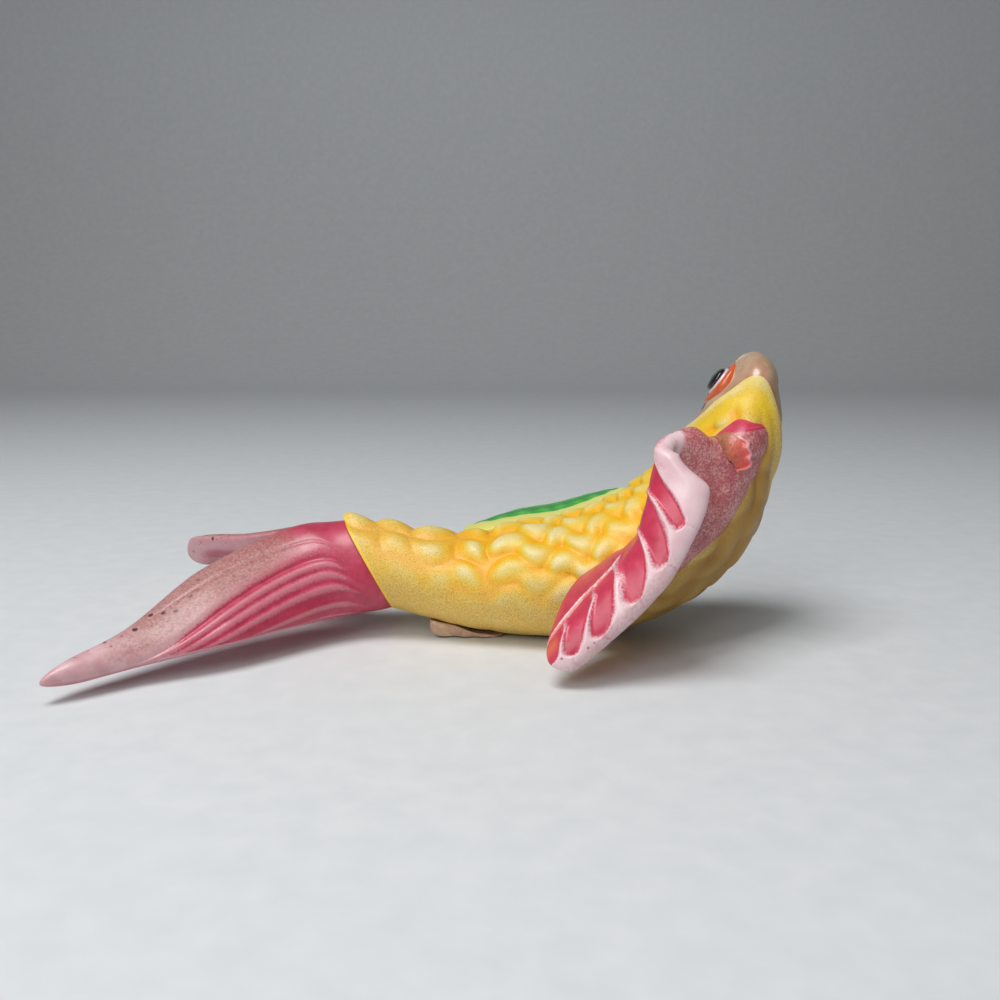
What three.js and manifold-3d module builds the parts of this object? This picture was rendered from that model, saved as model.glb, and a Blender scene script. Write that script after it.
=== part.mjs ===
// Fish wall hanging: a hollow clay fish in profile. One flank lies on the wall and the head lifts off it.
// Body, head, eye pellets, tail lobes, fins and wall pad are made one by one and luted or glued together.
// Millimetres. +X runs from the tail to the head, +Y from the belly to the back fin, +Z out of the wall.
// The origin is the middle of the flat ground on the wall side of the body, in the plane of the wall.

import * as THREE from 'three';
import { mergeVertices } from 'three/addons/utils/BufferGeometryUtils.js';
import Module from 'manifold-3d';

const wasm = await Module();
wasm.setup();

// Driving dimensions. "Along" is measured on the curved spine, from the tail seat or back from the snout.

const SEAT_GAP = 0.3; // slip or glue between two pieces

const BODY_LENGTH = 112.6; // in X, from the tail seat to the snout
const BODY_THICK = 37; // wall side to front, at the breast
const BODY_TALL = 49; // belly to back, at the breast
const SNOUT_RISE = 82; // from the wall to the tip of the snout
const WALL = 5; // clay around the hollow
const GROUND_DEPTH = 1; // ground off the wall side so that it sits flat
const NAIL_HOLE_RADIUS = 4.5; // the fish hangs by it, and the hollow breathed through it in the kiln
const NAIL_HOLE_UP = 11; // from the origin towards the back fin
const NAIL_HOLE_BACK = 2; // from the origin towards the tail

const SCALE_PITCH = 15; // from scale to scale along the body
const SCALES_ROUND = 10; // scales in one ring
const SCALE_RELIEF = 1.1; // half the height of a scale

const GILL_SIDE = 26.5; // edge of the face on the flanks, along from the snout
const GILL_THROAT = 6; // the same at the throat, where the scales rise in an arch
const GILL_TURN = 77; // degrees from the front of the head to the top of that arch
const FACE_INSET = 0.5; // the face lies this far below the edge of the scales
const MOUTH_WIDTH = 9;
const MOUTH_GAP = 1.6;
const MOUTH_DEPTH = 3;

const EYE_PLACE = 10.5; // along from the snout
const EYE_TURN = 14; // degrees from the front of the head towards its crown
const EYE_WHITE_RADIUS = 4.5;
const EYE_WHITE_HEIGHT = 1.4;
const EYE_RING_WIDTH = 2.6;
const EYE_RING_HEIGHT = 0.9;
const PUPIL_RADIUS = 3.7;
const PUPIL_HEIGHT = 1.6;

const TAIL_LENGTH = 72; // in X, from the seat to the tips
const TAIL_SPREAD = 60; // from the middle plane to each tip
const TAIL_STEP = 1.6; // the tail starts this far below the last scales
const TAIL_LOBE_WIDTH = 30; // from crest to outer edge, where the lobes part
const TAIL_LOBE_SWELL = 8; // of a lobe's front, where the lobes part
const TAIL_SEAT_LEAN = 38; // degrees that the tail seat leans from square
const LOWER_TIP_RISE = 5.5; // middle of the belly-side tip above the wall
const LOWER_TIP_WIDTH = 4.5;
const UPPER_TIP_RISE = 8;
const UPPER_TIP_WIDTH = 10;
const TAIL_RAYS = 4;
const TAIL_RAY_RELIEF = 0.7;

const BELLY_FIN_START = 17; // leading edge at the throat, along from the snout
const BELLY_FIN_END = 85; // trailing edge on the belly, along from the snout
const BELLY_FIN_FLARE = 25; // from the root to the crest, towards the tail
const BELLY_FIN_REACH = 22; // from the root to the rim, away from the belly
const BELLY_FIN_ROOT = 13; // thickness where it leaves the belly
const BELLY_FIN_RIM = 5.4; // thickness from the crest to the rim
const BELLY_FIN_RIBS = 7;
const BELLY_FIN_RELIEF = 0.5;
const BREAK_OUT = 4; // from the belly to the old break across the root

const BACK_FIN_START = 28; // along from the tail seat
const BACK_FIN_LENGTH = 61; // along the back
const BACK_FIN_TURN = 30; // degrees from the front of the body towards its back
const BACK_FIN_LEAN = 5; // degrees that it stands out from the plane of the wall
const BACK_FIN_HEIGHT = 14;
const BACK_FIN_THICK = 3.4;
const BACK_FIN_RAYS = 9;
const BACK_FIN_RELIEF = 0.35;

const PAD_LENGTH = 22.5;
const PAD_WIDTH = 14;
const PAD_HEEL = 8; // thickness at the tail end before it is pressed to the body
const PAD_TIP = 1; // thickness at the head end
const PAD_BEVEL = 3; // rounding under the tail end
const PAD_BACK = 12.3; // from the origin to its thin end
const PAD_DOWN = 9; // from the middle plane to its belly side

// Materials

const paintedClay = (color, roughness) => new THREE.MeshStandardMaterial({ color, roughness, metalness: 0 });
const SCALE_YELLOW = paintedClay(0xe9bf55, 0.5);
const FACE_BEIGE = paintedClay(0xc9a78f, 0.3);
const FIN_PINK = paintedClay(0xd9748c, 0.45);
const FIN_GREEN = paintedClay(0x2f9e3a, 0.45);
const EYE_ORANGE = paintedClay(0xd96a25, 0.3);
const EYE_WHITE = paintedClay(0xe8dede, 0.25);
const EYE_BLACK = paintedClay(0x101010, 0.2);
const PAD_TAN = paintedClay(0xc49d82, 0.85);

// Solids

const { clamp, degToRad, lerp, smoothstep } = THREE.MathUtils;
const Y_AXIS = new THREE.Vector3(0, 1, 0);
const FAR = 400; // larger than the part, for blocks that trim one side of a piece

// Volume inside a skin, which is negative where its faces are turned inwards.
function signedVolume(points, index) {
  const corner = (i) => new THREE.Vector3().fromArray(points, index[i] * 3);
  let volume = 0;
  for (let i = 0; i < index.length; i += 3) {
    volume += corner(i).dot(corner(i + 1).cross(corner(i + 2))) / 6;
  }
  return volume;
}

function toSolid(geometry) {
  const bare = geometry.clone();
  bare.deleteAttribute('normal');
  bare.deleteAttribute('uv');
  const merged = mergeVertices(bare);
  const vertProperties = new Float32Array(merged.attributes.position.array);
  const triVerts = new Uint32Array(merged.index.array);
  if (signedVolume(vertProperties, triVerts) < 0) {
    triVerts.reverse();
  }
  return new wasm.Manifold(new wasm.Mesh({ numProp: 3, vertProperties, triVerts }));
}

function toMesh(name, solid, material) {
  const { vertProperties, triVerts } = solid.getMesh();
  const geometry = new THREE.BufferGeometry();
  geometry.setAttribute('position', new THREE.BufferAttribute(new Float32Array(vertProperties), 3));
  geometry.setIndex(new THREE.BufferAttribute(new Uint32Array(triVerts), 1));
  geometry.computeVertexNormals();
  const mesh = new THREE.Mesh(geometry, material);
  mesh.name = name;
  return mesh;
}

// A skin over rings that all have the same count of points. A fan closes each end, unless the end rings are
// folded flat and so close by themselves.
function loft(rings, fans = true) {
  const count = rings[0].length;
  const points = rings.flat();
  const index = [];
  for (let ring = 0; ring < rings.length - 1; ring += 1) {
    for (let i = 0; i < count; i += 1) {
      const a = ring * count + i;
      const b = ring * count + ((i + 1) % count);
      index.push(a, b, b + count, a, b + count, a + count);
    }
  }
  const addFan = (ring, flip) => {
    const middle = new THREE.Vector3();
    rings[ring].forEach((p) => middle.addScaledVector(p, 1 / count));
    points.push(middle);
    for (let i = 0; i < count; i += 1) {
      const edge = [ring * count + i, ring * count + ((i + 1) % count)];
      index.push(points.length - 1, ...(flip ? edge.reverse() : edge));
    }
  };
  if (fans) {
    addFan(0, true);
    addFan(rings.length - 1, false);
  }
  const geometry = new THREE.BufferGeometry().setFromPoints(points);
  geometry.setIndex(index);
  return geometry;
}

// A smooth run through one small vector for each station, read from 0 to 1.
function run(vectors) {
  return new THREE.CatmullRomCurve3(vectors.map((v) => new THREE.Vector3(...v)));
}

const steps = (count) => Array.from({ length: count + 1 }, (_, i) => i / count);
const roundSteps = (count) => steps(count).slice(0, -1);

// Quarter round: rises from 0 at x = 0 to 1 at x = span and stays there.
const rounded = (x, span) => Math.sqrt(1 - clamp(1 - x / span, 0, 1) ** 2);

// The fish's own form

// Sections of the fish from the tail seat to the snout: how far along X and how far lifted off the wall each
// one is, and its thickness and height, as shares of the driving dimensions.
const STATIONS = [
  { x: 0.0, lift: 0.123, thick: 0.65, tall: 0.53 },
  { x: 0.15, lift: 0.067, thick: 0.71, tall: 0.63 },
  { x: 0.283, lift: 0.027, thick: 0.79, tall: 0.76 },
  { x: 0.416, lift: 0.004, thick: 0.905, tall: 0.89 },
  { x: 0.531, lift: 0.004, thick: 0.95, tall: 0.965 },
  { x: 0.646, lift: 0.033, thick: 1.0, tall: 1.0 },
  { x: 0.758, lift: 0.107, thick: 1.0, tall: 0.985 },
  { x: 0.867, lift: 0.267, thick: 0.95, tall: 0.9 },
  { x: 0.938, lift: 0.504, thick: 0.74, tall: 0.78 },
  { x: 0.972, lift: 0.682, thick: 0.6, tall: 0.66 },
  { x: 0.989, lift: 0.83, thick: 0.4, tall: 0.52 },
  { x: 1.0, lift: 0.935, thick: 0.34, tall: 0.46 },
];
const ORIGIN_SHARE = 0.473; // where the wall side lies on the wall
const LAST = STATIONS.length - 1;
const DOME_SHARE = 1 / LAST; // the snout rounds off over the last station
const LEAN_SHARE = 2 / LAST; // the sections stand square from the third station on

const spine = run(STATIONS.map(({ x, lift, thick }) => [
  (x - ORIGIN_SHARE) * BODY_LENGTH,
  0,
  (thick * BODY_THICK) / 2 - GROUND_DEPTH + lift * SNOUT_RISE,
]));
const girth = run(STATIONS.map(({ thick, tall }) => [(thick * BODY_THICK) / 2, (tall * BODY_TALL) / 2, 0]));
const SPINE_LENGTH = spine.getLength();

// Places along the spine, as shares of its length.
const fromSeat = (length) => length / SPINE_LENGTH;
const fromSnout = (length) => 1 - length / SPINE_LENGTH;

// Middle, directions and half sizes of the section at a share of the spine.
function section(share) {
  const t = spine.getUtoTmapping(share);
  const along = spine.getTangent(t);
  const lean = degToRad(TAIL_SEAT_LEAN) * (1 - smoothstep(t, 0, LEAN_SHARE));
  const front = new THREE.Vector3(-along.z, 0, along.x).addScaledVector(along, -Math.tan(lean));
  const { x: thick, y: tall } = girth.getPoint(t);
  return { middle: spine.getPoint(t), along, front, thick, tall, dome: rounded(1 - t, DOME_SHARE) };
}

// A point on the fish. The turn is 0 at the front and positive towards the back fin; grow swells the section.
function fishPoint(share, turn, grow = 0) {
  const { middle, front, thick, tall, dome } = section(share);
  return middle
    .addScaledVector(front, (thick + grow) * dome * Math.cos(turn))
    .addScaledVector(Y_AXIS, (tall + grow) * dome * Math.sin(turn));
}

// Scales stand in a staggered pattern, each highest near its tail edge. They fade out at both ends and,
// between the tail and the breast, on the wall side.
const SCALE_SKEW = 0.16;
const WALL_SIDE = { from: degToRad(105), to: degToRad(140) };
const BREAST = { from: 0.5, to: 0.62 };
const SEAT_FADE = 0.03;
const THROAT_FADE = { from: 0.8, to: 0.95 };

function scaleRelief(share, turn) {
  const row = (2 * share * SPINE_LENGTH) / SCALE_PITCH;
  const column = (turn * SCALES_ROUND) / Math.PI;
  const skewed = row + SCALE_SKEW * Math.sin(Math.PI * row);
  const wave = Math.cos(Math.PI * skewed) * Math.cos(Math.PI * column);
  const onWallSide = smoothstep(Math.abs(turn), WALL_SIDE.from, WALL_SIDE.to);
  const bare = onWallSide * (1 - smoothstep(share, BREAST.from, BREAST.to));
  const ends = smoothstep(share, 0, SEAT_FADE) * (1 - smoothstep(share, THROAT_FADE.from, THROAT_FADE.to));
  return SCALE_RELIEF * wave * ends * (1 - bare);
}

// A length of the fish as a solid; where it begins may depend on the turn.
function fishSolid({ from = () => 0, to, rows, columns, grow = 0, scales = false }) {
  const rings = steps(rows).map((row) => roundSteps(columns).map((column) => {
    const turn = Math.PI * (2 * column - 1);
    const share = lerp(from(turn), to, row);
    return fishPoint(share, turn, grow + (scales ? scaleRelief(share, turn) : 0));
  }));
  return toSolid(loft(rings));
}

function block(matrix) {
  return toSolid(new THREE.BoxGeometry(FAR, FAR, FAR).applyMatrix4(matrix));
}

// Room that the face takes up, from the edge of the scales to the snout.
const ARCH_POWER = 1.5;
const FACE_SWELL = 3;

function faceRoom(gap) {
  const from = (turn) => {
    const arch = Math.max(0, Math.cos(turn + degToRad(GILL_TURN))) ** ARCH_POWER;
    return fromSnout(lerp(GILL_SIDE, GILL_THROAT, arch) - gap);
  };
  return fishSolid({ from, to: 1, rows: 8, columns: 28, grow: FACE_SWELL });
}

// Body: a scaled hollow with a flat ground on the wall side, a nail hole, and seats for the face and the tail

const BODY_END_SHARE = 0.95; // of the spine, inside the face
const bodyGrid = {
  to: BODY_END_SHARE,
  rows: Math.round((5 * BODY_END_SHARE * SPINE_LENGTH) / SCALE_PITCH),
  columns: 4 * SCALES_ROUND,
  scales: true,
};
const hollowGrid = { from: () => fromSeat(WALL), to: BODY_END_SHARE, rows: 20, columns: 16 };
const hollow = fishSolid({ ...hollowGrid, grow: -WALL }).subtract(faceRoom(-WALL));
const nailHole = toSolid(
  new THREE.CylinderGeometry(NAIL_HOLE_RADIUS, NAIL_HOLE_RADIUS, BODY_THICK, 24)
    .rotateX(Math.PI / 2)
    .translate(-NAIL_HOLE_BACK, NAIL_HOLE_UP, 0),
);
const wallBlock = block(new THREE.Matrix4().makeTranslation(0, 0, -FAR / 2));
const bodyShell = fishSolid(bodyGrid)
  .subtract(faceRoom(0))
  .subtract(wallBlock)
  .subtract(hollow)
  .subtract(nailHole);

// The body with the gap around it, which cuts the seat of every piece that is set on it.
const bodySeat = fishSolid({ ...bodyGrid, grow: SEAT_GAP });

// Head: the smooth face, set inside the edge of the scales, with the mouth cut across the snout

const FACE_GAP = 1.5 * SEAT_GAP; // along the spine, because the edge runs aslant to it
const FACE_UNDER = 8; // the face is drawn this far under the scales before it is trimmed
const faceGrid = { from: () => fromSnout(GILL_SIDE + FACE_UNDER), to: 1, rows: 20, columns: 28 };
const snout = fishPoint(1, 0);
const mouth = toSolid(
  new THREE.BoxGeometry(MOUTH_WIDTH, MOUTH_GAP, 2 * MOUTH_DEPTH)
    .translate(snout.x - MOUTH_WIDTH / 3, MOUTH_GAP, snout.z),
);
const head = fishSolid({ ...faceGrid, grow: -FACE_INSET })
  .intersect(faceRoom(FACE_GAP))
  .subtract(mouth);
const headSeat = fishSolid({ ...faceGrid, grow: SEAT_GAP - FACE_INSET });

// Eye: a ring, a white pellet inside it and a black pellet on top

const EYE_SIDES = 24;
const EYE_SINK = 4; // the pellets are drawn this far into the head before its seat is cut from them

function eyePellet(profile) {
  const share = fromSnout(EYE_PLACE);
  const turn = degToRad(EYE_TURN);
  const step = 0.01;
  const middle = fishPoint(share, turn, -FACE_INSET);
  const round = fishPoint(share, turn + step, -FACE_INSET).sub(middle);
  const onward = fishPoint(share + step, turn, -FACE_INSET).sub(middle);
  const out = onward.cross(round).normalize();
  const lathe = new THREE.LatheGeometry(profile.map((p) => new THREE.Vector2(...p)), EYE_SIDES);
  lathe.applyQuaternion(new THREE.Quaternion().setFromUnitVectors(Y_AXIS, out));
  return toSolid(lathe.translate(middle.x, middle.y, middle.z));
}

const ringHole = EYE_WHITE_RADIUS + SEAT_GAP;
const ringRadius = ringHole + EYE_RING_WIDTH;
const eyeRing = eyePellet([
  [ringHole, -EYE_SINK],
  [ringRadius, -EYE_SINK],
  [ringRadius, 0.4 * EYE_RING_HEIGHT],
  [ringRadius - 0.4 * EYE_RING_WIDTH, 0.85 * EYE_RING_HEIGHT],
  [ringRadius - 0.6 * EYE_RING_WIDTH, EYE_RING_HEIGHT],
  [ringHole, 0.85 * EYE_RING_HEIGHT],
  [ringHole, -EYE_SINK],
]).subtract(headSeat);
const eyeWhite = eyePellet([
  [0, -EYE_SINK],
  [EYE_WHITE_RADIUS, -EYE_SINK],
  [EYE_WHITE_RADIUS, 0.7 * EYE_WHITE_HEIGHT],
  [0.9 * EYE_WHITE_RADIUS, EYE_WHITE_HEIGHT],
  [0, EYE_WHITE_HEIGHT],
]).subtract(headSeat);
const pupilFoot = EYE_WHITE_HEIGHT + SEAT_GAP;
const eyePupil = eyePellet([
  [0, pupilFoot],
  [PUPIL_RADIUS, pupilFoot],
  [0.94 * PUPIL_RADIUS, pupilFoot + 0.5 * PUPIL_HEIGHT],
  [0.6 * PUPIL_RADIUS, pupilFoot + 0.9 * PUPIL_HEIGHT],
  [0, pupilFoot + PUPIL_HEIGHT],
]);

// Tail: two leaf-shaped lobes that share the seat, parted along the middle plane

// Stations of a lobe after the seat. back and out are shares of the tail's length and of its spread. The
// width lies along slope (in X, outwards, in Z). The lobe swells by face on its front and by under behind,
// which are shares of the swell where the lobes part.
const LOBE_STATIONS = [
  { back: 0.25, out: 0.15, slope: [0.45, 0.46, -0.74], face: 1, under: 0.06 },
  { back: 0.53, out: 0.46, slope: [0.51, 0.64, -0.57], face: 0.56, under: 0.31 },
  { back: 0.78, out: 0.73, slope: [0.5, 0.7, -0.5], face: 0.44, under: 0.31 },
];
const LOBE_TIP = { back: 1, out: 1, face: 0.44, under: 0.31 };
// Where the two lobes differ: the fall at each station as a share of the fall to the tip, the width there as
// a share of the width where the lobes part, and the tip.
const LOWER_LOBE = {
  side: -1,
  falls: [0.1, 0.36, 0.8, 1],
  widths: [1, 0.87, 0.4, LOWER_TIP_WIDTH / TAIL_LOBE_WIDTH],
  tipRise: LOWER_TIP_RISE,
  tipSlope: [0.5, 0.7, -0.5],
};
const UPPER_LOBE = {
  side: 1,
  falls: [0.2, 0.32, 0.5, 1],
  widths: [1, 0.8, 0.65, UPPER_TIP_WIDTH / TAIL_LOBE_WIDTH],
  tipRise: UPPER_TIP_RISE,
  tipSlope: [0.3, 0.3, -0.9],
};
const LOBE_RINGS = 18;
const LOBE_POINTS = 32;
const TIP_SHARE = 0.12;
const ROOT_SHARE = 0.2;

function tailLobe({ side, falls, widths, tipRise, tipSlope }) {
  const seat = section(0);
  const stretch = seat.front.length();
  const root = seat.middle.clone()
    .addScaledVector(seat.along, -SEAT_GAP * stretch)
    .addScaledVector(seat.front, -TAIL_STEP / 2);
  const fall = root.z - tipRise;
  const leaf = [...LOBE_STATIONS, { ...LOBE_TIP, slope: tipSlope }];
  const middles = run([
    root.toArray(),
    ...leaf.map(({ back, out }, i) => [
      root.x - back * TAIL_LENGTH,
      side * out * TAIL_SPREAD,
      root.z - falls[i] * fall,
    ]),
  ]);
  const slopes = run([
    seat.front.clone().divideScalar(-stretch).toArray(),
    ...leaf.map(({ slope }) => [slope[0], side * slope[1], slope[2]]),
  ]);
  const sizes = run([
    [(seat.thick - TAIL_STEP / 2) * stretch, seat.tall - TAIL_STEP / 2, 0],
    ...leaf.map(({ face, under }, i) => [
      (widths[i] * TAIL_LOBE_WIDTH) / 2,
      face * TAIL_LOBE_SWELL,
      under * TAIL_LOBE_SWELL,
    ]),
  ]);
  const rings = steps(LOBE_RINGS).map((step) => {
    const t = Math.sin((Math.PI * step) / 2);
    const middle = middles.getPoint(t);
    const slope = slopes.getPoint(t).normalize();
    const { x: half, y: face, z: under } = sizes.getPoint(t).multiplyScalar(rounded(1 - t, TIP_SHARE));
    const square = slope.clone().cross(middles.getTangent(t)).multiplyScalar(side).normalize();
    const out = new THREE.Vector3(0, side, 0).lerp(square, smoothstep(t, 0, ROOT_SHARE));
    const rayRelief = TAIL_RAY_RELIEF * smoothstep(t, 0, 2 * ROOT_SHARE) * rounded(1 - t, TIP_SHARE);
    return roundSteps(LOBE_POINTS).map((around) => {
      const turn = 2 * Math.PI * around;
      const ray = rayRelief * Math.cos(2 * TAIL_RAYS * turn);
      const swell = turn < Math.PI ? face + ray : under;
      return middle.clone()
        .addScaledVector(slope, -half * Math.cos(turn))
        .addScaledVector(out, swell * Math.sin(turn));
    });
  });
  const otherSide = block(new THREE.Matrix4().makeTranslation(0, (-side * (FAR - SEAT_GAP)) / 2, 0));
  return toSolid(loft(rings)).subtract(otherSide);
}

const tailLower = tailLobe(LOWER_LOBE);
const tailUpper = tailLobe(UPPER_LOBE);

// Belly fin: a thick fluted sheet that leaves the belly towards the tail and folds back like a lapel.
// It has snapped along its root and is glued back on, so the root and the blade are two pieces.

// Stations from the leading edge at the throat to the trailing edge on the belly. The crest of the fold and
// the rim are steps from the root: towards the head as a share of the flare, then away from the belly and up
// as shares of the reach.
const SHEET_STATIONS = [
  { crest: [-1.06, 0.56, -0.17], rim: [-0.76, 0.93, -0.42] },
  { crest: [-0.93, 0.45, 0.06], rim: [-0.46, 0.9, -0.04] },
  { crest: [-0.68, 0.51, 0.3], rim: [-0.28, 0.92, 0.1] },
  { crest: [-0.33, 0.53, 0.33], rim: [-0.13, 0.98, -0.05] },
  { crest: [-0.58, 0.9, -0.41], rim: [-0.34, 1.08, -0.64] },
];
const SHEET_ROWS = 34;
const SHEET_COLUMNS = 12;
const SHEET_SINK = 5; // the sheet is drawn from this far inside the belly before its seat is cut
const BELLY_TURN = -Math.PI / 2;
const EDGE_SHARE = 0.06; // rounding of the leading and trailing edges
const LEAD_SHARE = 0.15; // rounding of the leading edge at the thick root
const RIM_SHARE = 0.12;
const THINNING = { from: 0.1, to: 0.5 };
const RIBS_RISE = { from: 0.3, to: 0.55 };

const finStep = ([x, out, z]) => [x * BELLY_FIN_FLARE, -out * BELLY_FIN_REACH, z * BELLY_FIN_REACH];
const crestSteps = run(SHEET_STATIONS.map(({ crest }) => finStep(crest)));
const rimSteps = run(SHEET_STATIONS.map(({ rim }) => finStep(rim)));

// Middle of the sheet, with u along the root and v from the root over the crest to the rim.
function sheetPoint(u, v) {
  const share = fromSnout(lerp(BELLY_FIN_START, BELLY_FIN_END, u));
  const belly = fishPoint(share, BELLY_TURN);
  const root = fishPoint(share, BELLY_TURN, -SHEET_SINK);
  const crest = crestSteps.getPoint(u).add(belly);
  const rim = rimSteps.getPoint(u).add(belly);
  const fold = crest.multiplyScalar(2).addScaledVector(root, -0.5).addScaledVector(rim, -0.5);
  return new THREE.QuadraticBezierCurve3(root, fold, rim).getPoint(v);
}

// The two faces of the sheet, ribbed on the outside of the fold.
function sheetFaces(u, v) {
  const step = 0.004;
  const onward = sheetPoint(Math.min(u + step, 1), v).sub(sheetPoint(Math.max(u - step, 0), v));
  const across = sheetPoint(u, Math.min(v + step, 1)).sub(sheetPoint(u, Math.max(v - step, 0)));
  const out = onward.cross(across).normalize();
  const thinned = smoothstep(v, THINNING.from, THINNING.to);
  const half = lerp(BELLY_FIN_ROOT, BELLY_FIN_RIM, thinned) / 2;
  const lead = rounded(u, lerp(LEAD_SHARE, EDGE_SHARE, thinned));
  const edges = rounded(1 - v, RIM_SHARE) * lead * rounded(1 - u, EDGE_SHARE);
  const ribs = Math.cos(2 * Math.PI * BELLY_FIN_RIBS * u) * smoothstep(v, RIBS_RISE.from, RIBS_RISE.to);
  const middle = sheetPoint(u, v);
  return {
    outer: middle.clone().addScaledVector(out, (half + BELLY_FIN_RELIEF * ribs) * edges),
    inner: middle.addScaledVector(out, -half * edges),
  };
}

const sheetRings = steps(SHEET_ROWS).map((row) => {
  const u = (1 - Math.cos(Math.PI * row)) / 2;
  const faces = steps(SHEET_COLUMNS).map((column) => sheetFaces(u, Math.sin((Math.PI * column) / 2)));
  return [...faces.map(({ outer }) => outer), ...faces.map(({ inner }) => inner).reverse()];
});
const breakGrid = { to: BODY_END_SHARE, rows: 40, columns: 32 };
const bellyFin = toSolid(loft(sheetRings, false)).subtract(bodySeat);
const bellyFinRoot = bellyFin.intersect(fishSolid({ ...breakGrid, grow: BREAK_OUT }));
const bellyFinBlade = bellyFin.subtract(fishSolid({ ...breakGrid, grow: BREAK_OUT + SEAT_GAP }));

// Back fin: a rayed strip of clay along the back, rounded at both ends

const BACK_FIN_ROWS = 36;
const BACK_FIN_SINK = 4; // it is drawn from this far inside the back before its seat is cut
const BACK_FIN_ROUND = 0.5;
// Half of its section: shares of the half thickness and of the height.
const BACK_FIN_EDGE = [
  [1, 0.6],
  [0.55, 0.92],
];

function backFinRing(step) {
  const foot = fishPoint(fromSeat(BACK_FIN_START + step * BACK_FIN_LENGTH), degToRad(BACK_FIN_TURN));
  const lean = degToRad(BACK_FIN_LEAN);
  const out = new THREE.Vector3(0, Math.cos(lean), Math.sin(lean));
  const across = new THREE.Vector3(0, -Math.sin(lean), Math.cos(lean));
  const height = BACK_FIN_HEIGHT * Math.sin(Math.PI * step) ** BACK_FIN_ROUND;
  const half = (BACK_FIN_THICK + BACK_FIN_RELIEF * Math.cos(2 * Math.PI * BACK_FIN_RAYS * step)) / 2;
  const edge = BACK_FIN_EDGE.map(([side, up]) => [side * half, up * height]);
  const outline = [[half, -BACK_FIN_SINK], ...edge, [0, height]];
  const mirrored = outline.slice(0, -1).reverse().map(([side, up]) => [-side, up]);
  return [...outline, ...mirrored].map(([side, up]) => (
    foot.clone().addScaledVector(across, side).addScaledVector(out, up)
  ));
}

const backFin = toSolid(loft(steps(BACK_FIN_ROWS).map(backFinRing))).subtract(bodySeat);

// Wall pad: a wedge of putty pressed between the narrow end of the body and the wall

const padEnd = -PAD_BACK - PAD_LENGTH;
const padOutline = new THREE.Shape();
padOutline.moveTo(-PAD_BACK, PAD_TIP);
padOutline.lineTo(-PAD_BACK - 2 * PAD_TIP, 0);
padOutline.lineTo(padEnd + PAD_BEVEL, 0);
padOutline.quadraticCurveTo(padEnd, 0, padEnd, PAD_BEVEL);
padOutline.lineTo(padEnd, PAD_HEEL);
padOutline.closePath();
const wallPad = toSolid(
  new THREE.ExtrudeGeometry(padOutline, { depth: PAD_WIDTH, bevelEnabled: false, curveSegments: 5 })
    .rotateX(Math.PI / 2)
    .translate(0, PAD_WIDTH - PAD_DOWN, 0),
).subtract(bodySeat);

// The whole part

const eye = new THREE.Group();
eye.add(toMesh('eye_ring', eyeRing, EYE_ORANGE));
eye.add(toMesh('eye_white', eyeWhite, EYE_WHITE));
eye.add(toMesh('eye_pupil', eyePupil, EYE_BLACK));

const tail = new THREE.Group();
tail.add(toMesh('tail_lower_lobe', tailLower, FIN_PINK));
tail.add(toMesh('tail_upper_lobe', tailUpper, FIN_PINK));

const fins = new THREE.Group();
fins.add(toMesh('belly_fin_root', bellyFinRoot, FIN_PINK));
fins.add(toMesh('belly_fin_blade', bellyFinBlade, FIN_PINK));
fins.add(toMesh('back_fin', backFin, FIN_GREEN));

const fish = new THREE.Group();
fish.add(toMesh('body_shell', bodyShell, SCALE_YELLOW));
fish.add(toMesh('head', head, FACE_BEIGE));
fish.add(toMesh('wall_pad', wallPad, PAD_TAN));
fish.add(eye, tail, fins);

export default fish;
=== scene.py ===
import math

import bmesh
import bpy
import numpy as np
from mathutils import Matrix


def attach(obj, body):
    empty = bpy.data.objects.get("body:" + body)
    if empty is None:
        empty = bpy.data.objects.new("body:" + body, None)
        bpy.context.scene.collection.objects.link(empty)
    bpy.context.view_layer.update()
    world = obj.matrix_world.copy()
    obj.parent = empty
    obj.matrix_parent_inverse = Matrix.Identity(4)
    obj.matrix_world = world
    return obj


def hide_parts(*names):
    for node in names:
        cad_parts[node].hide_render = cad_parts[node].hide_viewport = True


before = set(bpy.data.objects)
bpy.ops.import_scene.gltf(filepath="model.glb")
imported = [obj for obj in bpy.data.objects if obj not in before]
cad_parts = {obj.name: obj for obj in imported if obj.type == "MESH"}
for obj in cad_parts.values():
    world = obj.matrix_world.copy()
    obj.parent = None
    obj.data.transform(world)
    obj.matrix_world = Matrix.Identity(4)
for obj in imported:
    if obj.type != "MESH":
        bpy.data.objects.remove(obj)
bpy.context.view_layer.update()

scene = bpy.context.scene
scene.view_settings.view_transform = "Standard"

# Camera. It stands low on the belly side, a hand's breadth above the table, and looks slightly down
# at the fish with the lens of a phone.
HALF_PICTURE_PIXELS = 500
FOCAL_PIXELS = 1003
CAMERA_PLACE = (-0.01425, -0.289, 0.094)
LOOK_DOWN = math.radians(10.73)
camera_lens = bpy.data.cameras.new("camera")
camera_lens.angle = 2 * math.atan(HALF_PICTURE_PIXELS / FOCAL_PIXELS)
camera = bpy.data.objects.new("camera", camera_lens)
camera.location = CAMERA_PLACE
camera.rotation_euler = (math.pi / 2 - LOOK_DOWN, 0, 0)
scene.collection.objects.link(camera)
scene.camera = camera

# Body. A hollow of fired clay, pinched into a fish with one flank flat for the wall. Its scales are
# pressed in rows and painted yellow, orange in the hollows and cream on the crests, and dusted brown.
# Like all sizes of the fish, its sizes are in millimetres.
MM = 0.001
BODY_LENGTH = 112.6
BODY_THICK = 37
BODY_TALL = 49
SNOUT_RISE = 82
ORIGIN_SHARE = 0.473
GROUND_DEPTH = 1
TAIL_SEAT_LEAN = math.radians(38)
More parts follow.
